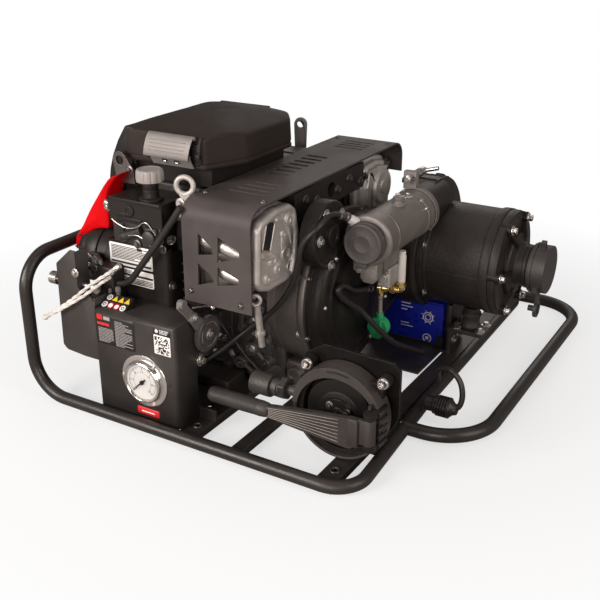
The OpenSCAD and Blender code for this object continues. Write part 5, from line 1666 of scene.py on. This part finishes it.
# ---------------------------------------------------------------- front of the crankcase
# round bosses: x, z, radius, reach towards the front
FRONT_BOSSES = ((-46, 77, 12, 203), (-70, 46, 11, 202), (-43, 28, 10, 200), (-96, 30, 10, 199),
                (-24, 54, 9, 199), (-102, 84, 12, 201), (-34, 104, 11, 204), (-66, 108, 9, 199),
                (-67, 154, 11, 202), (-30, 148, 9, 200), (-12, 30, 9, 190), (24, 40, 13, 186),
                (46, 36, 9, 184))
# cast ribs between bosses: start, end, radius
FRONT_RIBS = (((-46, -196, 77), (-70, -196, 46), 5), ((-70, -196, 46), (-43, -195, 28), 4.4),
              ((-46, -197, 77), (-34, -197, 104), 4.6), ((-102, -196, 84), (-96, -194, 30), 5),
              ((-34, -198, 104), (-30, -196, 148), 4.4), ((-67, -198, 154), (-66, -196, 108), 5),
              ((-24, -194, 54), (-46, -196, 77), 4), ((-43, -194, 28), (-12, -186, 30), 5))


def front_castings():
    bow = Vector((2, -1.6, 1))
    piece("front_castings", "cast_engine",
          boxes(((-128, -190, 20), (-14, -150, 132), 7, 3),
                ((-112, -196, 60), (-84, -170, 150), 5, 3),
                ((-20, -182, 28), (6, -120, 104), 6, 3),
                ((-12, -176, 14), (60, -130, 60), 7, 3)),
          [lathe([(0, 150), (r + 3, 150), (r + 2.4, h - 12), (r + 0.8, h - 9), (r, h - 2),
                  (r - 1, h), (r * 0.6, h), (r * 0.5, h - 2), (0, h - 2)], from_front(x, z), 28)
           for x, z, r, h in FRONT_BOSSES],
          [tube([a, (Vector(a) + Vector(b)) / 2 + bow, b], r, 12, steps=6)
           for a, b, r in FRONT_RIBS],
          # fins
          [box((-126 + 2 * i, -193 + i, 24 + 9 * i), (-104, -186, 27.4 + 9 * i), 1, 1)
           for i in range(6)], smooth=40)
    piece("front_bolts", "zinc",
          bolts(FRONT, 8.5, 5, (-46, -203, 77), (-34, -204, 104), (-67, -202, 154),
                (-102, -201, 84)),
          bolts(FRONT, 8, 4.6, (-122, -192, 47), (-52, -190, 120), (-24, -186, 90)))
    piece("front_screws", "bolt_dark",
          [capscrew((x, -h + 1.6, z), FRONT, 8.5, 4.6)
           for x, z, h in ((-70, 46, 202), (-43, 28, 200), (-96, 30, 199), (-24, 54, 199),
                           (-30, 148, 200))],
          lathe([(0, 190), (10, 190), (10, 204), (12, 205), (12, 211), (9, 212), (9, 216),
                 (0, 216)], from_front(-84, 62), 6))


def guard_slot_shade_and_wires():
    """dark strips of painted shade below the slotted top of the guard, wires across the castings"""
    # near-black strips under the slots: painted shade
    piece("guard_slot_painted_shade", "needle",
          [box((-56, y0, 351.6), (28, y1, 353.2), 0.4, 1)
           for y0, y1 in ((-268, -194), (-156, -8), (46, 106))])
    piece("front_wires", "hose",
          tube([(-60, -240, 128), (-74, -214, 96), (-58, -208, 70), (-40, -206, 52),
                (-22, -196, 26)], 2.0),
          tube([(-102, -212, 118), (-88, -206, 90), (-96, -204, 60), (-90, -200, 20)], 2.2))


def belly_plates():
    """plates and blocks between the bars"""
    piece("belly_plate", "frame_powder",
          boxes(((54, -34, 13), (175, 150, 15.6), 0.8, 1),
                ((-28, -120, 13), (32, 100, 15.6), 0.8, 1),
                ((-164, -304, 12.8), (-96, -196, 14.6), 0.8, 1),
                ((-150, -250, 15), (-60, -196, 34), 4, 2),
                ((205, -292, 12.6), (222, -192, 15), 0.8, 1),
                ((36, 60, 15), (50, 160, 92), 2, 2),
                ((172.4, 84, 15), (182, 150, 96), 1.6, 2)))


# ---------------------------------------------------------------- battery, pump and frame
def battery_marks():
    """plain marks: a sun ring, an open disc and rows of short bars"""
    y = 81.8
    sun, disc = (140, 66), (140, 26)

    def on_face(centre, radius, degrees):
        x, z = around(centre, radius, degrees)
        return (x, y, z)

    def ring(centre, radius, thickness):
        return sweep([on_face(centre, radius, 360 * i / 40) for i in range(40)], thickness, 6,
                     closed=True)

    rays = [45 * k + 22.5 for k in range(8)]
    piece("battery_marks", "ink_white", ring(sun, 9, 1.0), ring(sun, 5, 0.8),
          [sweep([on_face(sun, 10.8, a), on_face(sun, 13.4, a)], 0.7, 6) for a in rays],
          ring(disc, 7.5, 0.9),
          lathe([(0, -81.5), (3.2, -81.5), (3.2, -82.3), (0, -82.3)], from_front(*disc), 24),
          [box((88, 81.2, 90 - 6.2 * j), (x1, 82.2, 90 - 6.2 * j + 2.2), 0.4, 1)
           for j, x1 in enumerate((112, 106, 110, 100))],
          [box((88, 81.2, 46 - 5.4 * j), (x1, 82.2, 46 - 5.4 * j + 1.8), 0.4, 1)
           for j, x1 in enumerate((104, 112))])


def pump_details():
    axis = along_x(*PUMP)
    piece("barrel_bands", "cast_black",
          lathe([(86.6, 150), (88.6, 151), (88.6, 154), (86.6, 155)], axis, 128),
          lathe([(86.6, 246), (89.2, 247.6), (89.8, 250), (89.8, 261), (89, 262), (86, 262)],
                axis, 128),
          lathe([(86, 262.6), (88.4, 263), (88.8, 265), (88.8, 272), (87.4, 275), (84, 276.4),
                 (60, 276.6), (58, 276), (56, 276.6)], axis, 128),
          lathe([(50, 276), (52.4, 277), (52.6, 282), (51, 284), (46, 284.6), (44, 286),
                 (36.6, 288), (34.6, 292), (34.6, 300), (36, 301.4), (36, 306), (34.6, 307.6),
                 (34, 309)], axis, 96), smooth=40)
    piece("pump_bolts", "zinc",
          bolts(RIGHT, 7, 3.6, *((149.0, *around(PUMP, 88.4, a)) for a in range(37, 360, 60))),
          bolts(UP, 9, 5, *((x, y, 62.6) for x in (196, 238) for y in (76, 108))),
          bolts(RIGHT, 8, 4.4, (190, 80, 36), (190, 104, 36)))
    piece("mount_rubber", "rubber",
          lathe([(13, 62.6), (16.4, 63.4), (17, 66), (15, 70), (14.4, 76), (15, 82), (17, 86),
                 (16.4, 90), (13, 92)], upright(216, 92), 48))
    rib_centre = (105, 201)
    piece("volute_ribs", "cast_black",
          [box((-1.6, -17, -0.6), (1.6, 17, 1.8), 0.8, 1,
               facing((120, *around(rib_centre, 112, a)), radial(a), radial(a + 90)))
           for a in range(40, 150, 14)],
          lathe([(0, 0), (9, 0), (9, 3), (7.6, 4.4), (0, 4.4)],
                facing((120, 150, 303.4), (0, 0.4, 0.92)), 6))
    # fork and spring of the cross handle
    n = 64
    piece("handle_spring", "bolt_dark",
          tube([(106, 24, 322), (110, 18, 330), (119, 15, 334), (128, 18, 330)], 2.2, 10),
          sweep([(119 + 6.6 * math.cos(0.9 * i), 42 + 22 * i / n, 331 + 6.6 * math.sin(0.9 * i))
                 for i in range(n + 1)], 0.9, 8))


def frame_details():
    # welds where bars meet the base tube
    beads = []
    for x0, x1 in ((-190, -160), (-60, -30), (33, 53), (176, 206)):
        for tube_y, side in ((-391, 1), (391, -1)):
            y = tube_y + side * 9.6
            beads.append(tube([(x0, y, 6), (x0 + 1, y + side * 1.5, 11.6),
                               ((x0 + x1) / 2, y + side * 2.0, 12.4),
                               (x1 - 1, y + side * 1.5, 11.6), (x1, y, 6)],
                              lambda t: 1.9 + 0.35 * math.sin(60 * t), 8, steps=6))
    piece("weld_beads", "frame_powder", beads)
    ring = [(4.6, 12), (8, 12), (8, 12.8), (7.4, 13.2), (4.9, 13.2), (4.6, 12)]
    piece("foot_hole_rings", "bolt_dark",
          [lathe(ring, upright(x, y), 32) for x in (-175, -45, 191) for y in (-352, 340)])


def fan_side():
    """grille and bolts on the left side"""
    piece("fan_grille", "black_plastic",
          [torus(r, 1.8, facing((-312.4, *CRANK), RIGHT), 96, 8) for r in (66, 76, 86, 96)],
          [box((-1.3, -18, -0.6), (1.3, 18, 2.4), 0.6, 1,
               facing((-311.8, *around(CRANK, 82, a)), LEFT, radial(a + 90)))
           for a in range(0, 360, 15)],
          [box((-314, -230, z), (-311, 56, z + 4), 1.2, 1) for z in range(190, 251, 12)],
          lathe([(0, 310), (30, 310), (34, 311), (34, 315), (30, 317), (12, 317.4), (10, 319),
                 (0, 319)], facing((0, *CRANK), LEFT), 56))
    spots = ((-180, 76), (4, 76), (-232, 250), (56, 250), (-232, 190), (56, 190))
    piece("fan_housing_bolts", "zinc", bolts(LEFT, 9, 5, *((-312.4, y, z) for y, z in spots)))


# ---------------------------------------------------------------- stage, in metres
def floor_material():
    material, tree, shader = new_material("floor")
    seen = ramp(tree, noise(tree, Scale=3.0), (0.0, (0.84, 0.855, 0.87)),
                (1.0, (0.88, 0.895, 0.91)))
    camera_ray = node(tree, "LightPath", {}).outputs["Is Camera Ray"]
    color = mix_color(tree, camera_ray, (0.42, 0.40, 0.385, 1), seen)
    feed(tree, shader, {"Base Color": color, "Roughness": 0.8, "Specular IOR Level": 0.05})
    # seen directly, the floor brightens to plain white away from the object
    white = node(tree, "Emission", {"Color": (1, 1, 1, 1), "Strength": 1.0})
    place = node(tree, "TexCoord", {}).outputs["Object"]
    distance = node(tree, "VectorMath", {0: place}, operation="LENGTH").outputs["Value"]
    fade = map_range(tree, distance, from_min=0.35, from_max=0.95, to_min=0.62, to_max=1.0)
    amount = node(tree, "Math", {0: fade, 1: camera_ray}, operation="MULTIPLY").outputs["Value"]
    both = node(tree, "MixShader", {"Fac": amount, 1: shader.outputs["BSDF"],
                                    2: white.outputs["Emission"]})
    feed(tree, tree.nodes["Material Output"], {"Surface": both.outputs["Shader"]})
    return material


def floor():
    mesh = bpy.data.meshes.new("floor")
    s = 30.0
    mesh.from_pydata([(-s, -s, 0), (s, -s, 0), (s, s, 0), (-s, s, 0)], [], [(0, 1, 2, 3)])
    made = bpy.data.objects.new("floor", mesh)
    made.location = (0, 0, -0.0005)
    bpy.context.scene.collection.objects.link(made)
    mesh.materials.append(floor_material())


def world():
    studio = bpy.data.worlds.new("studio")
    bpy.context.scene.world = studio
    studio.use_nodes = True
    feed(studio.node_tree, studio.node_tree.nodes["Background"],
         {"Color": (1.0, 0.91, 0.86, 1), "Strength": 0.19})


def area_light(name, location, width, height, power):
    """warm panel aimed at the middle of the machine"""
    light = bpy.data.lights.new(name, "AREA")
    light.energy = power
    light.color = (1.0, 0.925, 0.88)
    light.shape = "RECTANGLE"
    light.size = width
    light.size_y = height
    made = bpy.data.objects.new(name, light)
    bpy.context.scene.collection.objects.link(made)
    made.location = location
    aim = Vector((0, 0, 0.2)) - Vector(location)
    made.rotation_euler = aim.to_track_quat("-Z", "Y").to_euler()


def lights():
    area_light("key", (-1.1, -2.4, 1.15), width=1.2, height=1.0, power=61)
    area_light("top", (-0.2, 0.0, 2.5), width=2.2, height=1.6, power=5.5)
    area_light("right", (2.3, -0.5, 1.2), width=1.1, height=1.3, power=24)
    area_light("front_low", (0.7, -2.7, 0.7), width=1.2, height=0.8, power=25)
    area_light("back", (-0.7, 2.3, 1.3), width=1.6, height=1.0, power=6)


def camera():
    scene = bpy.context.scene
    lens = bpy.data.cameras.new("camera")
    made = bpy.data.objects.new("camera", lens)
    scene.collection.objects.link(made)
    lens.lens = 54.84
    lens.sensor_width = 36.0
    lens.clip_start, lens.clip_end = 0.05, 100
    made.location = (0.6985, -1.3019, 0.7253)
    made.rotation_euler = (math.radians(67.0), 0, math.radians(30.7))
    scene.camera = made
    scene.view_settings.view_transform = "Standard"
    scene.view_settings.look = "None"
    scene.view_settings.exposure = 0.0


# ---------------------------------------------------------------- build
MATERIAL_STEPS = (powder_coats, castings, metals, plastics, soft_materials, inks, glass,
                  paint_nodes)
PIECE_STEPS = (
    air_cover_shell, air_cover_details, panel_box, panel_fittings, gauge, panel_plates,
    sign_plate, engine_labels, belt_case, port_cover_front, port_cover_rear, stay_tube, exhaust,
    primer_arm, primer_arch, primer_inside, primer_valve, hoses, cables, hose_ends,
    starter_cord, filler_cap, lifting_eyes, filler_box_details, latch, delivery_body,
    delivery_cap, drain, throttle, red_shroud, starter, panel_back_fittings, carburettor, intake,
    front_castings, guard_slot_shade_and_wires, belly_plates, battery_marks, pump_details,
    frame_details, fan_side)
STAGE_STEPS = (floor, world, lights, camera)

for build in MATERIAL_STEPS + PIECE_STEPS + STAGE_STEPS:
    build()
